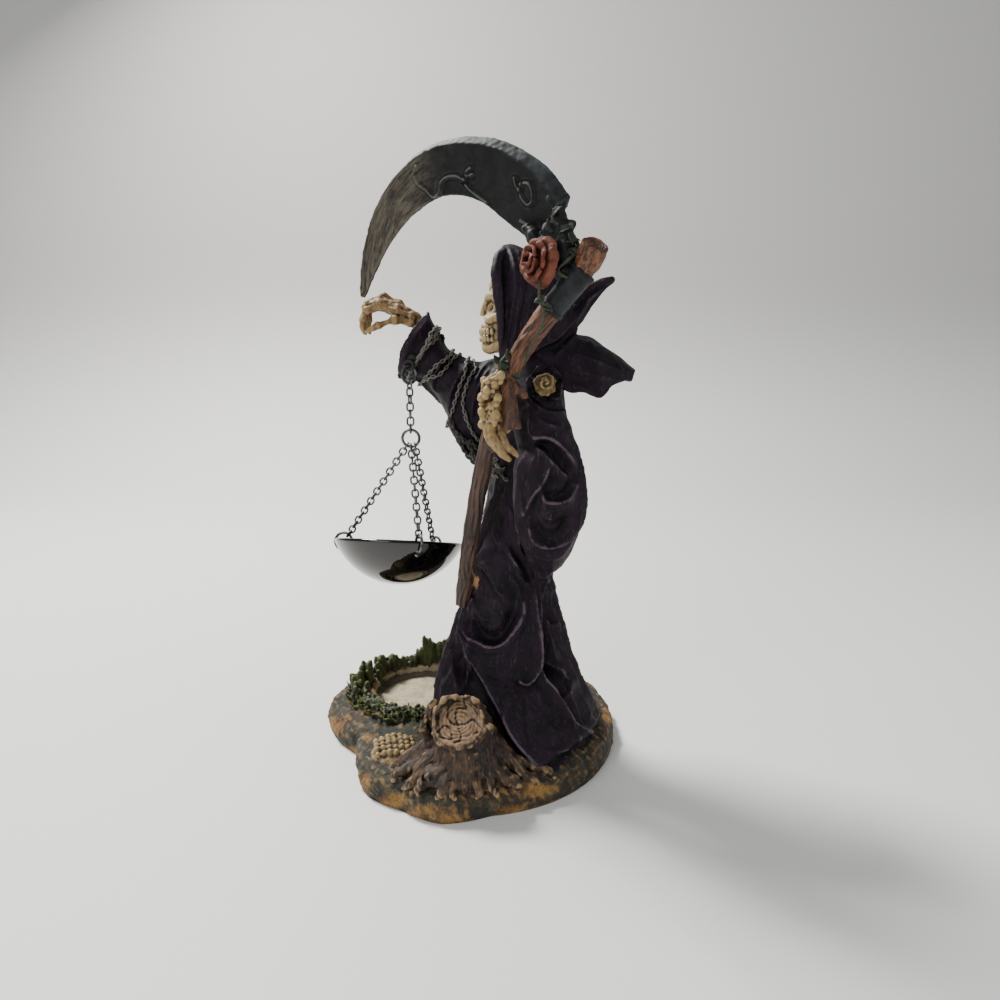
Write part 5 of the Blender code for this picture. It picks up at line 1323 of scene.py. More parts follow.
# Torn bark behind the stump's face, its roots as an end x, y and radius, and holes in its knot
BARK_SHARDS = [
    [(-12, -42, 28, 3.4), (-15, -43, 36, 2.6), (-13.5, -44, 43, 1.2)],
    [(-8, -40, 30, 3.0), (-9, -43, 40, 2.4), (-6, -46, 46, 1.2)],
    [(6, -50, 30, 3.0), (11, -55, 35, 2.6), (12, -58, 38, 1.4)],
    [(-15, -44, 24, 2.6), (-18, -46, 31, 1.8), (-17, -47, 37, 0.8)],
]
ROOTS = [(-36, -49, 2.8), (-31, -55, 2.4), (-26, -61, 2.6), (-19, -65.5, 2.2), (-11, -68, 3.0),
         (-3, -68.5, 2.2), (6, -67.5, 2.6), (15, -66, 2.2), (24, -63, 2.8), (33, -57.5, 2.4),
         (40, -52.5, 2.0)]
KNOT_HOLES = [((-16.4, -63.6, 17.6), 1.3), ((-13, -65.4, 18.2), 1.2), ((-15.5, -65.2, 14.4), 0.9)]


def about_stump(place):
    """Each point's height over the stump's face, its way out from the axis, and its turn about the roots."""
    off = place - np.array(STUMP_FACE)
    lean = np.array(STUMP_LEAN)
    height = off @ lean
    return height, off - height[:, None] * lean, np.arctan2(place[:, 1] + 40, place[:, 0] - 1)


def make_stump(paint):
    """A broken trunk that leans over the near edge, cut across, with grained roots that spread."""
    bm = bmesh.new()
    face = STUMP_FACE
    tube(bm, [(4, -34, 12, 18), (3, -42, 20, 15), (0, -49, 31, 12),
              (*(face - STUMP_LEAN * 0.6), STUMP_RADIUS)], sides=36, round_ends=False)
    u = STUMP_LEAN.orthogonal().normalized()
    v = STUMP_LEAN.cross(u)
    rings = [[], [], [], []]
    for a in np.linspace(0, 2 * math.pi, 90, endpoint=False):
        out = u * math.cos(a) + v * math.sin(a)
        torn = min(1, max(0, 0.1 + 0.7 * out.z + 0.45 * abs(out.x)))
        ragged = noise.noise(out * 1.7) * 4.6 + noise.noise(out * 4.3) * 1.8
        swell = 1.9 * noise.noise(out * 2.3 + Vector((2, 0, 0)))
        tall = max(0.1, torn * (2.4 + ragged))
        wall = ((-9, 12.0 + swell), (tall, 11.6 + swell), (tall, 10.4 + swell * 0.7), (-0.6, 9.6))
        for ring, (height, reach) in zip(rings, wall):
            ring.append(face + out * reach + STUMP_LEAN * height)
    loft(bm, rings)
    for line in BARK_SHARDS:
        tube(bm, line, sides=10)
    top = BASE_THICKNESS
    for k, (x, y, r) in enumerate(ROOTS):
        swing = 3.2 if k % 2 else -2.8
        tube(bm, [(x * 0.1, -40, 24, 6.5), (x * 0.34, -44 + (y + 44) * 0.3, top + 9, 5.6),
                  (x * 0.62 + swing * 0.5, -44 + (y + 44) * 0.66, top + 4.4, r * 1.3),
                  (x * 0.86 - swing * 0.6, y * 0.97, top + 0.8, r * 0.9), (x, y, top - 2.2, 0.7)], sides=14)
    ball(bm, (-13, -61, 17), (4.8, 4.2, 4.6))
    ball(bm, (-9, -63.5, 15), (3.4, 2.8, 3.2))
    ball(bm, (1, -51, top - 2), (27, 12.5, 7))
    tube(bm, [(1, -45, 30, 12.5), (0, -49, 20, 14.5), (0, -50, 12, 16)], sides=28)
    trunk = clay("stump_and_roots", bm, 0.5, 3)
    place, normal = points_of(trunk), normals_of(trunk)
    height, flat, around = about_stump(place)
    r, level = np.linalg.norm(flat, axis=1), normal @ np.array(STUMP_LEAN)
    turn = np.arctan2(flat @ np.array(v), flat @ np.array(u))
    on_face = np.clip((level - 0.6) * 4, 0, 1) * np.clip((STUMP_RADIUS - r) / 1.5, 0, 1) * (height > -3)
    wander = speckle(place, 9, 0.4)
    rings = 0.22 * np.sin(r * 4.0 + wander * 3.2 + np.cos(turn * 2) * 1.4) + 0.16 * speckle(place, 3.1, 0.6)
    cracks = -0.9 * np.exp(-((speckle(place, 8.5, 1.7) - 0.1) / 0.12) ** 2)
    strand = np.sin(around * 52 + speckle(place, 15, 2.1) * 4.5 + place[:, 2] * 0.2)
    bark = 0.26 * np.abs(strand) + 0.45 * speckle(place, 6, 1.1) + 0.2 * speckle(place, 2.6, 1.4)
    place = place + normal * (on_face * (rings + cracks) + (1 - on_face) * bark)[:, None]
    place[:, 2] = np.maximum(place[:, 2], 1.5)
    move_points(trunk, place)
    carve(trunk, [(hole, (size, size, size * 1.2), (0, 0, 0)) for hole, size in KNOT_HOLES])
    place, normal = points_of(trunk), normals_of(trunk)
    height, flat, around = about_stump(place)
    r, level = np.linalg.norm(flat, axis=1), normal @ np.array(STUMP_LEAN)
    sawn = (r < STUMP_RADIUS) * (np.abs(height) < 4)
    remember(trunk, "face", np.clip((level - 0.5) * 3, 0, 1) * sawn)
    reach = np.hypot(place[:, 0] - 1, place[:, 1] + 40)
    flow = np.stack([around * 26, reach * 0.16, place[:, 2] * 0.14], axis=1)
    remember(trunk, "grain", flow * UNIT)
    store_relief(trunk, broad=18)
    on_figure(trunk, paint)


def make_ground_bones(paint):
    """A hand of bones that grips the ground: rows of beaded knuckles on a mound."""
    bm = bmesh.new()
    top = BASE_THICKNESS
    for row in range(5):
        for k in range(7):
            x, y = -42.5 + 0.8 * row + 2.75 * k, -29.6 - 3.5 * row + 0.25 * k
            round_off = 1 - ((x + 33) / 12) ** 2 - ((y + 36) / 13) ** 2
            size = 1.45 + 0.22 * math.sin(4.7 * k + 2.9 * row)
            z = top + 0.4 + 4.6 * math.sqrt(max(0.02, round_off))
            ball(bm, (x, y, z), (size * 1.05, size, size * 1.15), fineness=2)
    ball(bm, (-33, -36, top - 0.4), (11, 11.5, 5.4))
    hand = clay("ground_bones", bm, 0.34, 1)
    roughen(hand, (0.2, 3.5, 0.4))
    store_relief(hand, broad=18)
    on_figure(hand, paint)


# How tall the grass stands round the recess: turn in degrees, height
GRASS_HEIGHTS = ([50, 72, 80, 94, 102, 118, 130, 146, 156, 164, 171, 180, 190, 202, 240, 286],
                 [15, 17, 17, 17, 8, 7, 11, 12, 13, 5, 11, 17, 14, 6, 5, 4.5])


def beside_recess(degrees, reach, z):
    """A place round the recess, and the way out from its middle there."""
    a, r = math.radians(degrees), RECESS_RADIUS + reach
    root = Vector((RECESS_CENTRE.x + r * math.cos(a), RECESS_CENTRE.y + r * math.sin(a), z))
    return root, Vector((math.cos(a), math.sin(a), 0.0))


def make_grass(paint):
    """Moulded clumps of lobed leaves round the recess, highest behind it and low in front."""
    bm = bmesh.new()
    clumps = 46
    for k in range(clumps):
        degrees = 50 + 236 * (k + 0.7 * chance.random()) / clumps
        row = (k * 0.382) % 1.0
        reach = 1.0 + 6.0 * row + 5.0 * math.exp(-((degrees - 190) / 14) ** 2)
        high = np.interp(degrees, *GRASS_HEIGHTS) * (1.1 - 0.35 * row)
        root, out = beside_recess(degrees, reach, BASE_THICKNESS - 0.6)
        side = out.cross(Vector((0, 0, 1)))
        for j in range(5):
            fan = (j - 2) / 2 + 0.15 * chance.normal()
            tall = high * (1.06 - 0.3 * fan * fan) * (0.82 + 0.3 * chance.random())
            foot = root + side * 1.3 * fan + out * chance.normal() * 0.5
            tip = foot + side * 1.9 * fan + out * (0.5 + 0.7 * chance.normal()) + Vector((0, 0, tall))
            tube(bm, [(*foot, 1.3), (*foot.lerp(tip, 0.35), 1.25), (*foot.lerp(tip, 0.8), 1.55),
                      (*tip, 1.15)], sides=8, steps=2)
    strokes = 230
    for k in range(strokes):
        degrees = 178 + 102 * chance.random()
        root, out = beside_recess(degrees, 1.5 + 11.5 * chance.random(), BASE_THICKNESS - 0.4)
        lean = Vector((-0.55 + 0.35 * chance.normal(), 0.3 * chance.normal(), 0.8)).normalized()
        tip = root + lean * (4.2 + 3.0 * chance.random())
        tube(bm, [(*root, 0.85), (*root.lerp(tip, 0.5), 0.7), (*tip, 0.35)], sides=6, steps=2)
    tufts = clay("leaf_clumps", bm, 0.42, 1)
    remember(tufts, "tip", np.clip((points_of(tufts)[:, 2] - BASE_THICKNESS) / 11, 0, 1))
    roughen(tufts, (0.2, 2.4, 0.6), (0.14, 1.3, 0.9))
    store_relief(tufts, broad=14)
    on_figure(tufts, paint)


def make_shoulder_rosette(paint, cloth):
    """The gold-green bud on the near shoulder, and the dark ruffle of cloth that it sits in."""
    out = Vector((0.05, -0.96, 0.26)).normalized()
    centre = Vector((35.0, -30.6, 181.6)) + out * 1.4
    u = out.orthogonal().normalized()
    v = out.cross(u)
    bm = bmesh.new()
    ball(bm, (0, 0, 0), (4.9, 4.9, 3.3))
    turned_out = Matrix.Translation(centre) @ out.to_track_quat("Z", "Y").to_matrix().to_4x4()
    bmesh.ops.transform(bm, matrix=turned_out, verts=bm.verts)
    bud = clay("shoulder_rosette", bm, 0.28, 1)
    place, normal = points_of(bud), normals_of(bud)
    off = place - np.array(centre)
    across, up = off @ np.array(u), off @ np.array(v)
    coil = np.hypot(across, up) * 2.7 - np.arctan2(up, across) + 1.2 * speckle(place, 4, 0.3)
    lips = 0.55 * np.cos(coil) + 0.2 * speckle(place, 2.2, 0.7)
    move_points(bud, place + normal * (lips * np.clip(off @ np.array(out) + 0.5, 0, 1))[:, None])
    store_relief(bud, broad=12)
    on_figure(bud, paint)
    bm = bmesh.new()
    rows = []
    for reach in np.linspace(3.0, 7.8, 6):
        rows.append([centre + (u * math.cos(a) + v * math.sin(a)) * reach * (1 + 0.07 * math.sin(5 * a))
                     + out * (-1.4 + 0.24 * (reach - 3) * (1 + 2.2 * math.sin(6 * a + 0.4)))
                     for a in np.linspace(0, 2 * math.pi, 61)])
    sheet(bm, rows, 1.3)
    ball(bm, centre - out * 3.2, (6.4, 4.2, 6.4))
    ruffle = clay("shoulder_ruffle", bm, 0.34, 1)
    remember(ruffle, "streak", np.full(len(ruffle.data.vertices), 9.0))
    store_relief(ruffle, broad=16)
    on_figure(ruffle, cloth)


# The scythe

def path_grain(thing, path, along_scale=0.09):
    """Keeps coordinates that run along a path, so that grain is long one way."""
    place = points_of(thing)
    line = spline(path, 6)[:, :3]
    steps = np.linalg.norm(np.diff(line, axis=0), axis=1)
    reach = np.concatenate([[0], np.cumsum(steps)])
    nearest = np.argmin(np.linalg.norm(place[:, None] - line[None], axis=2), axis=1)
    tangent = np.gradient(line, axis=0)
    tangent /= np.linalg.norm(tangent, axis=1, keepdims=True)
    off = place - line[nearest]
    along = reach[nearest] + np.sum(off * tangent[nearest], axis=1)
    across = off - np.sum(off * tangent[nearest], axis=1)[:, None] * tangent[nearest]
    grain = np.stack([across[:, 0], across[:, 1], along * along_scale], axis=1) * UNIT
    remember(thing, "grain", grain)
    remember(thing, "height", along / reach[-1])
    return along, across


def make_snath(paint):
    """The crooked wooden pole and the grip, their bark cut in long grooves."""
    bm = bmesh.new()
    points = [(*p, SHAFT_RADIUS * s) for p, s in zip(SHAFT_PATH, SHAFT_SWELL)]
    tube(bm, points, sides=28, steps=8, round_ends=False)
    half = GRIP_LENGTH / 2
    a, b = GRIP_CENTRE - GRIP_AXIS * half, GRIP_CENTRE + GRIP_AXIS * half
    tube(bm, [(*(a + Vector((-1.0, 2.5, 3))), GRIP_RADIUS * 0.7), (*a.lerp(b, 0.3), GRIP_RADIUS * 0.8),
              (*a.lerp(b, 0.8), GRIP_RADIUS), (*b, GRIP_RADIUS * 1.05)], sides=24, round_ends=False)
    tube(bm, [(19, -43.5, 184, 2.6), (22.5, -46.5, 181, 2.2), (25.5, -48.5, 178.5, 1.7)], sides=12)
    for place, size in (((3, -26.5, 112), 1.6), ((12.5, -38.6, 156), 1.5), ((2.4, -21, 95), 1.4)):
        ball(bm, place, (size, size, size * 1.7), fineness=2)
    pole = clay("snath", bm, 0.46, 2)
    along, across = path_grain(pole, SHAFT_PATH)
    turn = np.arctan2(across[:, 1], across[:, 0])
    place, normal = points_of(pole), normals_of(pole)
    bark = (0.24 * np.sin(turn * 9 + speckle(place, 26, 0.6) * 3.0 + along * 0.05)
            + 0.12 * np.sin(turn * 19 + speckle(place, 17, 0.8) * 4.0) + 0.2 * speckle(place, 9, 0.2))
    side_on = 1 - np.clip(np.abs(normal[:, 2]) - 0.8, 0, 0.2) * 5
    move_points(pole, place + normal * (bark * side_on)[:, None])
    store_relief(pole, broad=16)
    on_scythe(pole, paint)


def socket_line():
    """The socket's middle on the shaft, and the shaft's way there."""
    low, high = Vector(SHAFT_PATH[-3]), Vector(SHAFT_PATH[-2])
    return low.lerp(high, 0.55), (high - low).normalized()


def turned(name, middle, line, profile, sides=64):
    """A lathed solid: each row of the profile is a distance along the line and a radius."""
    u = line.orthogonal().normalized()
    v = line.cross(u)
    bm = bmesh.new()
    rings = [[middle + line * at + (u * math.cos(a) + v * math.sin(a)) * r
              for a in np.linspace(0, 2 * math.pi, sides, endpoint=False)] for at, r in profile]
    loft(bm, rings)
    return mesh_object(name, bm)


def make_socket(paint):
    """The iron ferrule that holds the blade, a collar at each end."""
    middle, line = socket_line()
    half, r = SOCKET_LENGTH / 2, SOCKET_RADIUS
    profile = [(-half, r * 0.6), (-half, r * 0.86), (-half + 0.25, r * 0.95), (-half + 0.8, r),
               (-half + 1.7, r), (-half + 2.1, r * 0.93), (-half + 2.4, r * 0.9)]
    profile += [(-half + 2.6 + (2 * half - 5.4) * t, r * (0.9 + 0.05 * t)) for t in np.linspace(0.02, 1, 16)]
    profile += [(half - 2.4, r * 0.98), (half - 2.0, r * 1.04), (half - 0.8, r * 1.04), (half - 0.3, r),
                (half, r * 0.9), (half, r * 0.6)]
    ferrule = fuse(turned("socket", middle, line, profile), 0.3, smooth=2)
    place = points_of(ferrule)
    roughen(ferrule, (0.1, 6, 0.2), (0.05, 2.2, 0.6))
    remember(ferrule, "grain", place * np.array([1, 1, 0.2]) * UNIT)
    remember(ferrule, "tip", np.full(len(place), 0.1))
    remember(ferrule, "spine", np.full(len(place), 0.3))
    store_relief(ferrule, fine=2, broad=8)
    on_scythe(ferrule, paint)


def make_knob(paint):
    """The snath's cut end above the socket, its rings showing."""
    middle, along = socket_line()
    high, end = middle + along * (SOCKET_LENGTH / 2 + 1.4), Vector(SHAFT_PATH[-1])
    line = (end - high).normalized()
    r = KNOB_RADIUS
    long = (end - high).length
    profile = [(-1, r * 0.6), (0, r * 0.8), (long * 0.3, r * 0.95), (long * 0.7, r), (long * 0.92, r * 0.98),
               (long, r * 0.98), (long + 0.7, r * 0.93), (long + 0.8, r * 0.86)]
    profile += [(long + 0.55 + 0.3 * math.sin(t * 26), r * 0.84 * (1 - t))
                for t in np.linspace(0.05, 0.97, 22)]
    knob = turned("snath_end", high, line, profile)
    fuse(knob, 0.3, smooth=1)
    path_grain(knob, [tuple(high - line * 4), tuple(high), tuple(end), tuple(end + line * 3)], 0.3)
    roughen(knob, (0.22, 6, 0.9), (0.1, 2.4, 0.2))
    remember(knob, "height", np.ones(len(knob.data.vertices)))
    store_relief(knob, broad=14)
    on_scythe(knob, paint)


def blade_outline(count):
    """The blade's back and edge in its own plane, from heel to tip."""
    lines = []
    for knots in (BLADE_BACK_LINE, BLADE_EDGE_LINE):
        line = spline(knots, 6)
        reach = np.concatenate([[0], np.cumsum(np.linalg.norm(np.diff(line, axis=0), axis=1))])
        at = np.linspace(0, reach[-1], count)
        lines.append(np.stack([np.interp(at, reach, line[:, k]) for k in (0, 1)], axis=1))
    return lines


def on_blade(reach, z, off):
    """A place in the blade's own plane, and off it to one side."""
    along = (BLADE_TIP - BLADE_ROOT).normalized()
    side = Vector((-along.y, along.x, 0))
    return BLADE_ROOT + along * reach + Vector((0, 0, z)) + side * off


# Raised tendrils on the blade, in the photograph's pixels
TENDRILS = [
    [(416, 166), (414, 174), (418, 184), (426, 190), (433, 197), (439, 192), (441, 182), (447, 177),
     (456, 176), (463, 180)],
    [(464, 180), (466, 172), (470, 168)],
    [(465, 184), (470, 190), (478, 196), (486, 202)],
    [(467, 176), (472, 174)],
    [(520, 184), (520, 194), (526, 204), (531, 202), (532, 192), (529, 184), (524, 183)],
    [(514, 178), (516, 186), (519, 190)],
]


def make_blade(paint):
    """The crescent blade: thick at its back, thin at its edge, with raised tendrils."""
    bm = bmesh.new()
    backs, edges = blade_outline(120)
    shares = [0, 0.02, 0.05, 0.08, 0.11, 0.14, 0.17, 0.2, 0.24, 0.32, 0.45, 0.6, 0.75, 0.88, 0.96, 1.0]
    rings = []
    for s, back, edge in zip(np.linspace(0, 1, len(backs)), backs, edges):
        back_half = BLADE_BACK / 2 * (1.12 - 0.72 * s)
        bevel = 0.05 + 0.14 * max(0, 1 - s / 0.7)
        halves = []
        for t in shares:
            if t < bevel:
                halves.append(back_half * (0.3 + 0.7 * t / bevel))
            else:
                halves.append(max(BLADE_EDGE / 4,
                                  back_half + (BLADE_EDGE / 2 - back_half) * ((t - bevel) / (1 - bevel))))
        spots = [back + (edge - back) * t for t in shares]
        rings.append([on_blade(*spot, h) for spot, h in zip(spots, halves)]
                     + [on_blade(*spot, -h) for spot, h in zip(spots[::-1], halves[::-1])])
    loft(bm, rings)
    blade = clay("blade", bm, 0.42, 1)
    place, normal = points_of(blade), normals_of(blade)
    along = np.array((BLADE_TIP - BLADE_ROOT).normalized())
    in_plane = np.stack([(place - np.array(BLADE_ROOT)) @ along, place[:, 2]], axis=1)
    to_back, _, share = beside_line(in_plane, backs[::4], 1.0)
    side_on = np.abs(normal @ np.array([along[1], -along[0], 0]))
    # The blade's upward-facing back, which the finish paints lighter as a painted highlight of the light from
    # above
    spine = np.clip((0.93 - side_on) * 9, 0, 1) * np.clip(7.5 * (1 - share) + 1 - to_back, 0, 1)
    raised = 0.16 * speckle(place, 8, 0.5) + 0.1 * speckle(place, 3, 0.1)
    raised -= 0.5 * np.clip(speckle(place, 5, 1.9) - 0.9, 0, 1) * spine
    seen, to_camera = photo_plane(place)
    facing = np.sum(normal * to_camera, axis=1) > 0
    for line in TENDRILS:
        distance = beside_line(seen, line, PIXELS_PER_UNIT)[0]
        raised += facing * (0.7 * np.clip(1 - distance / 0.7, 0, 1) ** 0.7
                            - 0.45 * np.exp(-((distance - 1.3) / 0.6) ** 2))
    move_points(blade, place + normal * raised[:, None])
    remember(blade, "spine", spine)
    remember(blade, "tip", np.clip((share - 0.3) * 2.2, 0, 1))
    remember(blade, "grain", np.stack([to_back, share * 18, normal[:, 1] * 2], axis=1) * UNIT)
    store_relief(blade, broad=14)
    on_scythe(blade, paint)


def make_blade_neck(paint):
    """The tang between the blade's heel and the socket, lumpy with leaves."""
    middle, _ = socket_line()
    bm = bmesh.new()
    tube(bm, [(37, -46.8, 253, 3.7), (38.6, -48, 245, 3.6), (40.6, -49.4, 238, 4.1),
              (*(middle + Vector((0.5, 1, 7))), 4.7)], sides=20)
    tube(bm, [(27, -43.6, 243, 2.6), (31, -48, 237, 3.4), (38, -50, 231, 4.0), (45, -51, 228, 4.0)], sides=16)
    ball(bm, (39.5, -48.4, 252), (2.6, 2.4, 2.2))
    ball(bm, (43, -50.5, 243), (2.2, 2.4, 2.0))
    ball(bm, (34.8, -49.5, 239.5), (3.6, 3.2, 4.6))
    neck = clay("blade_neck", bm, 0.42, 2)
    place = points_of(neck)
    roughen(neck, (0.6, 7, 0.4), (0.3, 3, 0.8))
    remember(neck, "grain", place * UNIT)
    remember(neck, "tip", np.full(len(place), 0.05))
    remember(neck, "spine", np.zeros(len(place)))
    store_relief(neck, broad=14)
    on_scythe(neck, paint)


def petal(bm, centre, axis, turn, reach, wide, lift, curl, cup):
    """One cupped petal of a rose, its lip rolled outward."""
    u = axis.orthogonal().normalized()
    v = axis.cross(u)
    out = u * math.cos(turn) + v * math.sin(turn)
    side = axis.cross(out)
    rows = []
    for t in np.linspace(0, 1, 9):
        row = []
        for s in np.linspace(-1, 1, 11):
            swing = s * wide * (0.45 + 0.75 * math.sin(min(1, t * 1.15) * math.pi / 1.75))
            inward = 1 - math.cos(swing)
            radial = reach * (0.25 + 0.75 * t ** 0.8) * (1 - 0.25 * inward)
            rise = lift * t - curl * max(0, t - 0.72) ** 2 * 10 + cup * 0.12 * math.sin(s * 5 + turn * 3) * t
            place = (out * math.cos(swing) + side * math.sin(swing)) * radial
            row.append(centre + place + axis * rise)
        rows.append(row)
    sheet(bm, rows, 1.15)


def make_rose(paint):
    """The open rose at the blade's root: rings of thick petals about a spiral heart."""
    bm = bmesh.new()
    r = ROSE_RADIUS
    rings = ((5, 1.0, -0.4, 2.6, 0.7), (4, 0.82, 3.0, 1.8, 0.72),
             (3, 0.54, 5.0, 1.0, 0.92), (2, 0.28, 6.2, 0.2, 1.3))
    for ring, (count, reach, lift, curl, wide) in enumerate(rings):
        for k in range(count):
            turn = 2 * math.pi * (k + 0.37 * ring) / count + 0.3 + 0.2 * math.sin(5 * k + ring)
            petal(bm, ROSE_CENTRE - ROSE_AXIS * 2.8, ROSE_AXIS, turn, r * reach, wide,
                  lift + 0.7 * math.sin(2.7 * k + ring), curl, r * 0.42)
    ball(bm, ROSE_CENTRE - ROSE_AXIS * 3.0, (r * 0.34,) * 3)
    ball(bm, ROSE_CENTRE - ROSE_AXIS * 4.4, (r * 0.5, r * 0.4, r * 0.5))
    rose = clay("rose", bm, 0.27, 2)
    roughen(rose, (0.14, 4.5, 0.3), (0.07, 1.8, 0.3))
    store_relief(rose, broad=16)
    on_scythe(rose, paint)


# Stems as x, y, z and radius, in figure units
VINES = [
    [(25.5, -46, 190, 0.9), (28, -51.5, 198, 0.9), (33, -55, 208, 1.0), (31, -57, 216, 1.1),
     (31, -57, 223, 1.1)],
    [(20, -47, 186, 1.2), (16, -47.5, 190, 1.3), (20, -46, 195, 1.2), (25, -46, 193, 1.1),
     (24, -44.6, 188, 1.2)],
    [(38, -51, 244, 1.1), (43, -52, 240, 1.3), (46, -54, 234, 1.2), (42, -57, 230, 1.2), (38, -56, 226, 1.1),
     (44, -56, 222, 1.0)],
    [(40, -46, 250, 1.0), (36, -50, 246, 1.2), (39, -52, 240, 1.2), (36, -53, 236, 1.2)],
    [(24, -41, 246, 1.1), (28, -44.5, 243, 1.3), (33, -47, 240, 1.2), (37, -51, 238, 1.2)],
]
# The share of those radii and of the leaves' length that is made
STEM_SHARE = 0.62
LEAF_SHARE = 0.72
# Leaves, each from its base to its point
LEAVES = [
    ((38, -52, 240), (46, -54, 243)), ((40, -53, 237), (49, -55.5, 237)), ((42, -54, 234), (48, -57, 229)),
    ((36, -53, 240), (33, -55, 247)), ((42, -54, 240), (44, -56, 233)), ((36, -52, 246), (41, -53, 251)),
    ((20, -48, 190), (14, -50, 193)), ((19, -48, 188), (12.5, -49, 187)), ((21, -48, 192), (18, -49, 199)),
    ((21, -48, 186), (26, -50, 184)), ((33, -57, 217), (27, -59, 213)), ((32, -56, 213), (38, -57.5, 210)),
    ((17, -47, 191), (12, -47, 196)), ((22, -47, 195), (27, -49, 199)),
]


def make_vines(paint):
    bm = bmesh.new()
    for line in VINES:
        tube(bm, [(x, y, z, STEM_SHARE * r) for x, y, z, r in line], sides=10, steps=6)
    stems = clay("vine_stems", bm, 0.3, 1)
    store_relief(stems, broad=12)
    on_scythe(stems, paint)


def leaf(bm, base, tip, across, width):
    """A pointed leaf with a folded midrib and a wavy edge."""
    base, tip = Vector(base), Vector(tip)
    along = tip - base
    side = (Vector(across) - along * along.dot(Vector(across)) / along.length_squared).normalized()
    up = along.cross(side).normalized()
    rows = []
    for t in np.linspace(0.02, 0.98, 10):
        half = width * math.sin(math.pi * t ** 0.75) * (1 + 0.16 * math.sin(t * 22))
        middle = base + along * t + up * 0.5 * math.sin(math.pi * t)
        rows.append([middle + side * half * s + up * abs(s) * half * 0.45 for s in np.linspace(-1, 1, 7)])
    sheet(bm, rows, 0.55)


def make_leaves(paint):
    """Ivy leaves about the blade's root and the hand."""
    bm = bmesh.new()
    for base, tip in LEAVES:
        leaf(bm, base, Vector(base).lerp(Vector(tip), LEAF_SHARE), (0.2, 0.5, 0.8), 1.7)
    found = clay("ivy_leaves", bm, 0.28, 1)
    store_relief(found, broad=12)
    on_scythe(found, paint)


# The hanging dish and its hardware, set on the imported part's own rings

class Ring:
    """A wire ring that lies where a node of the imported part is."""

    def __init__(self, node):
        self.node = node
        place = np.array([v.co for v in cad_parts[node].data.vertices])
        off = place - place.mean(axis=0)
        self.normal = Vector(np.linalg.svd(off, full_matrices=False)[2][2])
        self.outer = 2 * np.linalg.norm(off, axis=1).max() - RING_WIRE
        self.centre = Vector(place.mean(axis=0))

    def hook(self, way):
        """The middle of the wire on the side that a direction points to, and the wire's run there."""
        out = (way - self.normal * way.dot(self.normal)).normalized()
        return self.centre + out * self.outer / 2, self.normal.cross(out)

    def make(self, paint):
        bm = bmesh.new()
        u = self.normal.orthogonal().normalized()
        torus(bm, self.centre, self.outer / 2, RING_WIRE / 2, u, self.normal.cross(u), 64, 16)
        ring = mesh_object(self.node + "_wire", bm)
        fit(ring, paint, "gunmetal_wire", self.node)


def make_chain(node, start_hook, end_hook, paint):
    """Separate oval links from one ring's wire to another's, the end links round those wires."""
    (start, start_wire), (end, end_wire) = start_hook, end_hook
    along = (end - start).normalized()
    reach = RING_WIRE / 2 + LINK_WIRE + CLEARANCE
    start, end = start - along * reach, end + along * reach
    length = (end - start).length
    hold = 1.75 * LINK_WIRE
    count = max(2, round((length - hold) / (LINK_LENGTH - hold)))
    step = (length - hold) / count
    link_length = step + hold
    first, last = start_wire.cross(along).normalized(), end_wire.cross(along).normalized()
    other = along.cross(first)
    total = math.atan2(last.dot(other), last.dot(first)) - math.pi / 2 * (count - 1)
    spare = (total + math.pi / 2) % math.pi - math.pi / 2
    bm = bmesh.new()
    for k in range(count):
        a = k * (math.pi / 2 + spare / (count - 1))
        middle = start + along * (link_length / 2 + step * k)
        across = first * math.cos(a) + other * math.sin(a)
        torus(bm, middle, (LINK_WIDTH - LINK_WIRE) / 2, LINK_WIRE / 2 * 0.94, along, across, 24, 10,
              stretch=(link_length - LINK_WIDTH) / 2)
    fit(mesh_object(node + "_links", bm), paint, "gunmetal_wire", node)


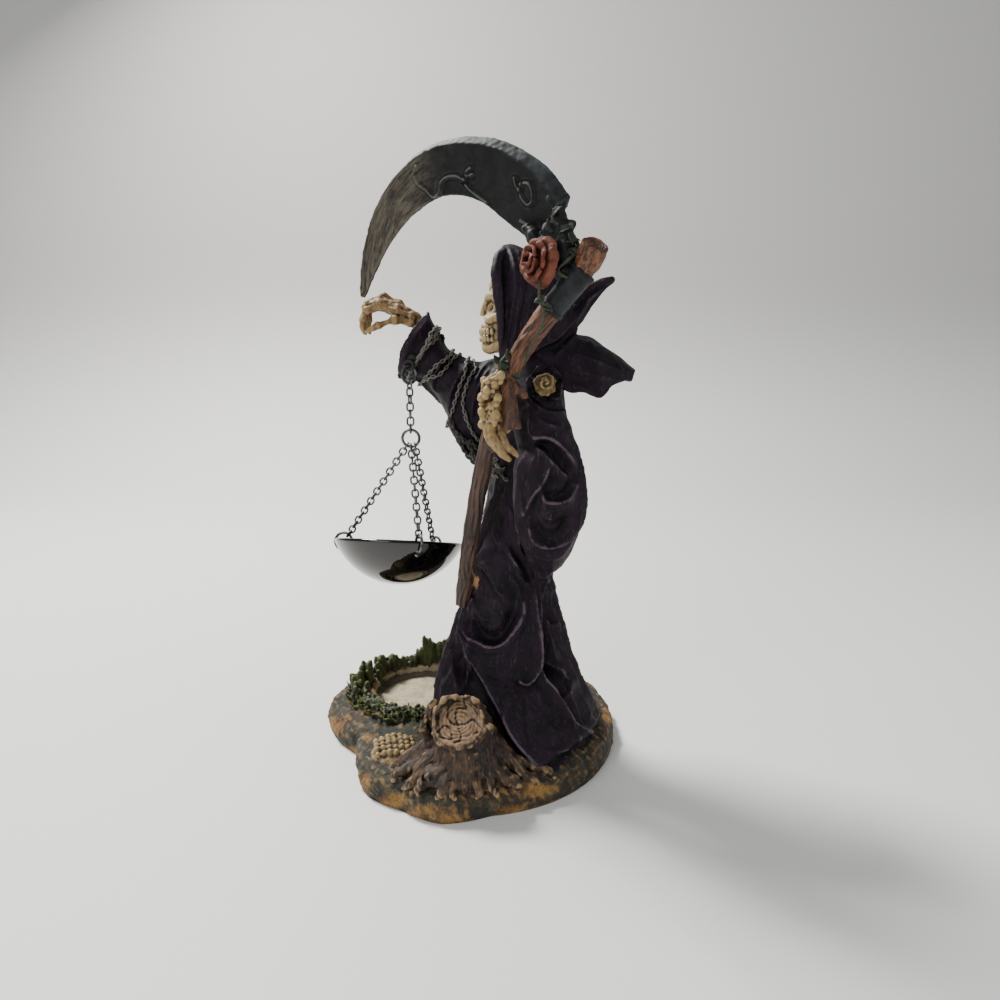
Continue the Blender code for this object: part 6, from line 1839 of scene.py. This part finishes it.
def make_dish(paint):
    """The black glass dish: a thin bowl with a fire-polished rim and three holes."""
    radius = DISH_DIAMETER / 2
    ball_radius = (radius ** 2 + DISH_DEPTH ** 2) / (2 * DISH_DEPTH)
    drop = ball_radius - DISH_DEPTH
    widest = math.asin(radius / ball_radius)
    inner_radius = ball_radius - DISH_WALL
    outer = [(ball_radius * math.sin(a), drop - ball_radius * math.cos(a))
             for a in np.linspace(0.004, widest, 40)]
    inner = [(inner_radius * math.sin(a), drop - inner_radius * math.cos(a))
             for a in np.linspace(widest, 0.004, 40)]
    half = DISH_WALL / 2
    rim_x, rim_z = (outer[-1][0] + inner[0][0]) / 2, (outer[-1][1] + inner[0][1]) / 2
    lip = [(rim_x + half * math.cos(a), rim_z + half * math.sin(a))
           for a in np.linspace(0.15, math.pi - 0.15, 9)]
    bm = bmesh.new()
    around = np.linspace(0, 2 * math.pi, 128, endpoint=False)
    loft(bm, [[(r * math.cos(a), r * math.sin(a), z) for a in around] for r, z in outer + lip + inner])
    dish = mesh_object("oil_dish_glass", bm)
    middle_radius = math.sqrt(ball_radius ** 2 - (drop + RIM_HOLE_DROP) ** 2) - half
    for k in range(len(CHAIN_SIDES)):
        a = math.radians(FIRST_RIM_HOLE + 360 * k / len(CHAIN_SIDES))
        out = Vector((math.cos(a), math.sin(a), 0.0))
        drill = rod("drill", RIM_HOLE_RADIUS, DISH_WALL * 6, 32)
        steep = out * math.sin(widest) - Vector((0, 0, math.cos(widest)))
        at = out * middle_radius - Vector((0, 0, RIM_HOLE_DROP))
        drill.matrix_world = Matrix.Translation(at) @ steep.to_track_quat("Z", "Y").to_matrix().to_4x4()
        cut(dish, drill)
    dish.data.transform(Euler((math.radians(-DISH_TIP), math.radians(DISH_ROLL), 0)).to_matrix().to_4x4())
    place = points_of(dish)
    low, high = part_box("oil_dish")
    shift = (low + high) / 2 - Vector((place.min(axis=0) + place.max(axis=0)) / 2)
    dish.data.transform(Matrix.Translation(shift))
    fit(dish, paint, "black_glass", "oil_dish")
    dish.data.set_sharp_from_angle(angle=math.radians(40))


def make_hangings(steel, glass):
    top, spreader = Ring("hanging_ring"), Ring("spreader_ring")
    rims = {side: Ring("rim_ring_" + side) for side in CHAIN_SIDES}
    for ring in (top, spreader, *rims.values()):
        ring.make(steel)
    up, x = Vector((0, 0, 1)), Vector((1, 0, 0))
    make_chain("upper_chain", top.hook(-up), spreader.hook(up), steel)
    for side, degrees in zip(CHAIN_SIDES, SPREADER_HOOKS):
        way = x * math.cos(math.radians(degrees)) + up * math.sin(math.radians(degrees))
        rim = rims[side]
        make_chain("dish_chain_" + side, spreader.hook(way), rim.hook(spreader.centre - rim.centre), steel)
    make_dish(glass)


# The stage

def build_stage():
    """A pale floor that sweeps up behind, the camera, and soft studio light."""
    bm = bmesh.new()
    rows = []
    wide = 3.0
    for k in range(24):
        a = min(1.0, max(0.0, (k - 6) / 12)) * math.pi / 2
        if k <= 6:
            y, z = -1.6 + k * 0.36, 0.0
        elif k < 18:
            y, z = 0.56 + 0.34 * math.sin(a), 0.34 * (1 - math.cos(a))
        else:
            y, z = 0.9, 0.34 + (k - 18) * 0.4
        rows.append([bm.verts.new((x, y, z)) for x in (-wide, wide)])
    for low, high in zip(rows, rows[1:]):
        bm.faces.new((low[0], low[1], high[1], high[0]))
    floor = mesh_object("floor_sweep", bm)
    floor.data.shade_smooth()
    f = Finish("floor_white")
    fine = f.grain(0.002, 3)
    rise = f.node("ShaderNodeSeparateXYZ", {}, {"Vector": f.places}, "Z")
    tone = f.mix(rise.above(0.02, 0.3), rgb(236, 236, 232), rgb(196, 195, 192))
    floor.data.materials.append(f.wear(f.mix(fine * 0.05, tone, rgb(200, 198, 194)), 0.55 + fine * 0.1))

    camera = bpy.data.objects.new("camera", bpy.data.cameras.new("camera"))
    bpy.context.collection.objects.link(camera)
    camera.location = Vector(CAMERA_PLACE) * UNIT
    camera.rotation_euler = (math.radians(90 - CAMERA_TILT), 0, 0)
    camera.data.lens = LENS
    camera.data.sensor_width = SENSOR
    camera.data.clip_start = 0.01
    bpy.context.scene.camera = camera

    aim = Vector((0.01, 0.0, 0.13))
    lamps = [("key_overhead", (-0.5, 0.42, 1.0), 0.3, 24.0, (1.0, 0.985, 0.96)),
             ("soft_front", (-0.6, -0.9, 0.75), 0.9, 6.0, (0.97, 0.98, 1.0)),
             ("soft_right", (0.9, -0.35, 0.6), 0.7, 2.0, (0.97, 0.98, 1.0))]
    for name, place, size, watts, colour in lamps:
        lamp = bpy.data.objects.new(name, bpy.data.lights.new(name, "AREA"))
        bpy.context.collection.objects.link(lamp)
        lamp.data.shape = "DISK"
        lamp.data.size = size
        lamp.data.energy = watts
        lamp.data.color = colour
        lamp.location = place
        lamp.rotation_mode = "QUATERNION"
        lamp.rotation_quaternion = (aim - Vector(place)).to_track_quat("-Z", "Y")
    world = bpy.data.worlds.new("studio")
    world.use_nodes = True
    world.node_tree.nodes["Background"].inputs["Color"].default_value = (0.78, 0.8, 0.82, 1)
    world.node_tree.nodes["Background"].inputs["Strength"].default_value = 0.36
    bpy.context.scene.world = world


robe_paint, bone_paint, iron_paint, wood_paint = robe_finish(), bone_finish(), iron_finish(), wood_finish()
chain_paint = vine_finish("moulded_chain_paint", (8, 8, 8), (19, 19, 18), (116, 114, 106))
belt_paint = vine_finish("belt_paint", (6, 6, 6), (13, 13, 12), (52, 50, 46))
vine_paint = vine_finish("vine_paint", (22, 26, 16), (40, 45, 29), (98, 104, 74))
leaf_paint = vine_finish("leaf_paint", (17, 23, 14), (34, 43, 28), (88, 100, 70))
rosette_paint = vine_finish("rosette_paint", (78, 62, 36), (122, 100, 58), (190, 168, 112))
build_stage()
robe_skin = make_robe(robe_paint)
make_hood(robe_paint)
make_skull(bone_paint)
# The far hand's bone colours are darker copies, painted shade for the side of the hand turned from the light
make_right_hand(bone_finish("right_hand_paint", (158, 128, 80), (90, 61, 31), (30, 17, 9)))
make_left_hand(bone_finish("left_hand_paint", (166, 140, 94), (116, 88, 52), (36, 22, 12)))
make_sleeve_chain(robe_skin, chain_paint, belt_paint)
make_wrist_eye(chain_paint)
make_ground(ground_finish())
make_stump(stump_finish())
make_ground_bones(bone_finish("ground_bone_paint", (156, 134, 90), (104, 78, 46), (30, 20, 11)))
make_grass(grass_finish())
make_shoulder_rosette(rosette_paint, robe_paint)
make_snath(wood_paint)
make_knob(wood_paint)
make_socket(iron_paint)
make_blade(iron_paint)
make_blade_neck(iron_paint)
make_rose(rose_finish())
make_vines(vine_paint)
make_leaves(leaf_paint)
make_hangings(steel_finish(), glass_finish())
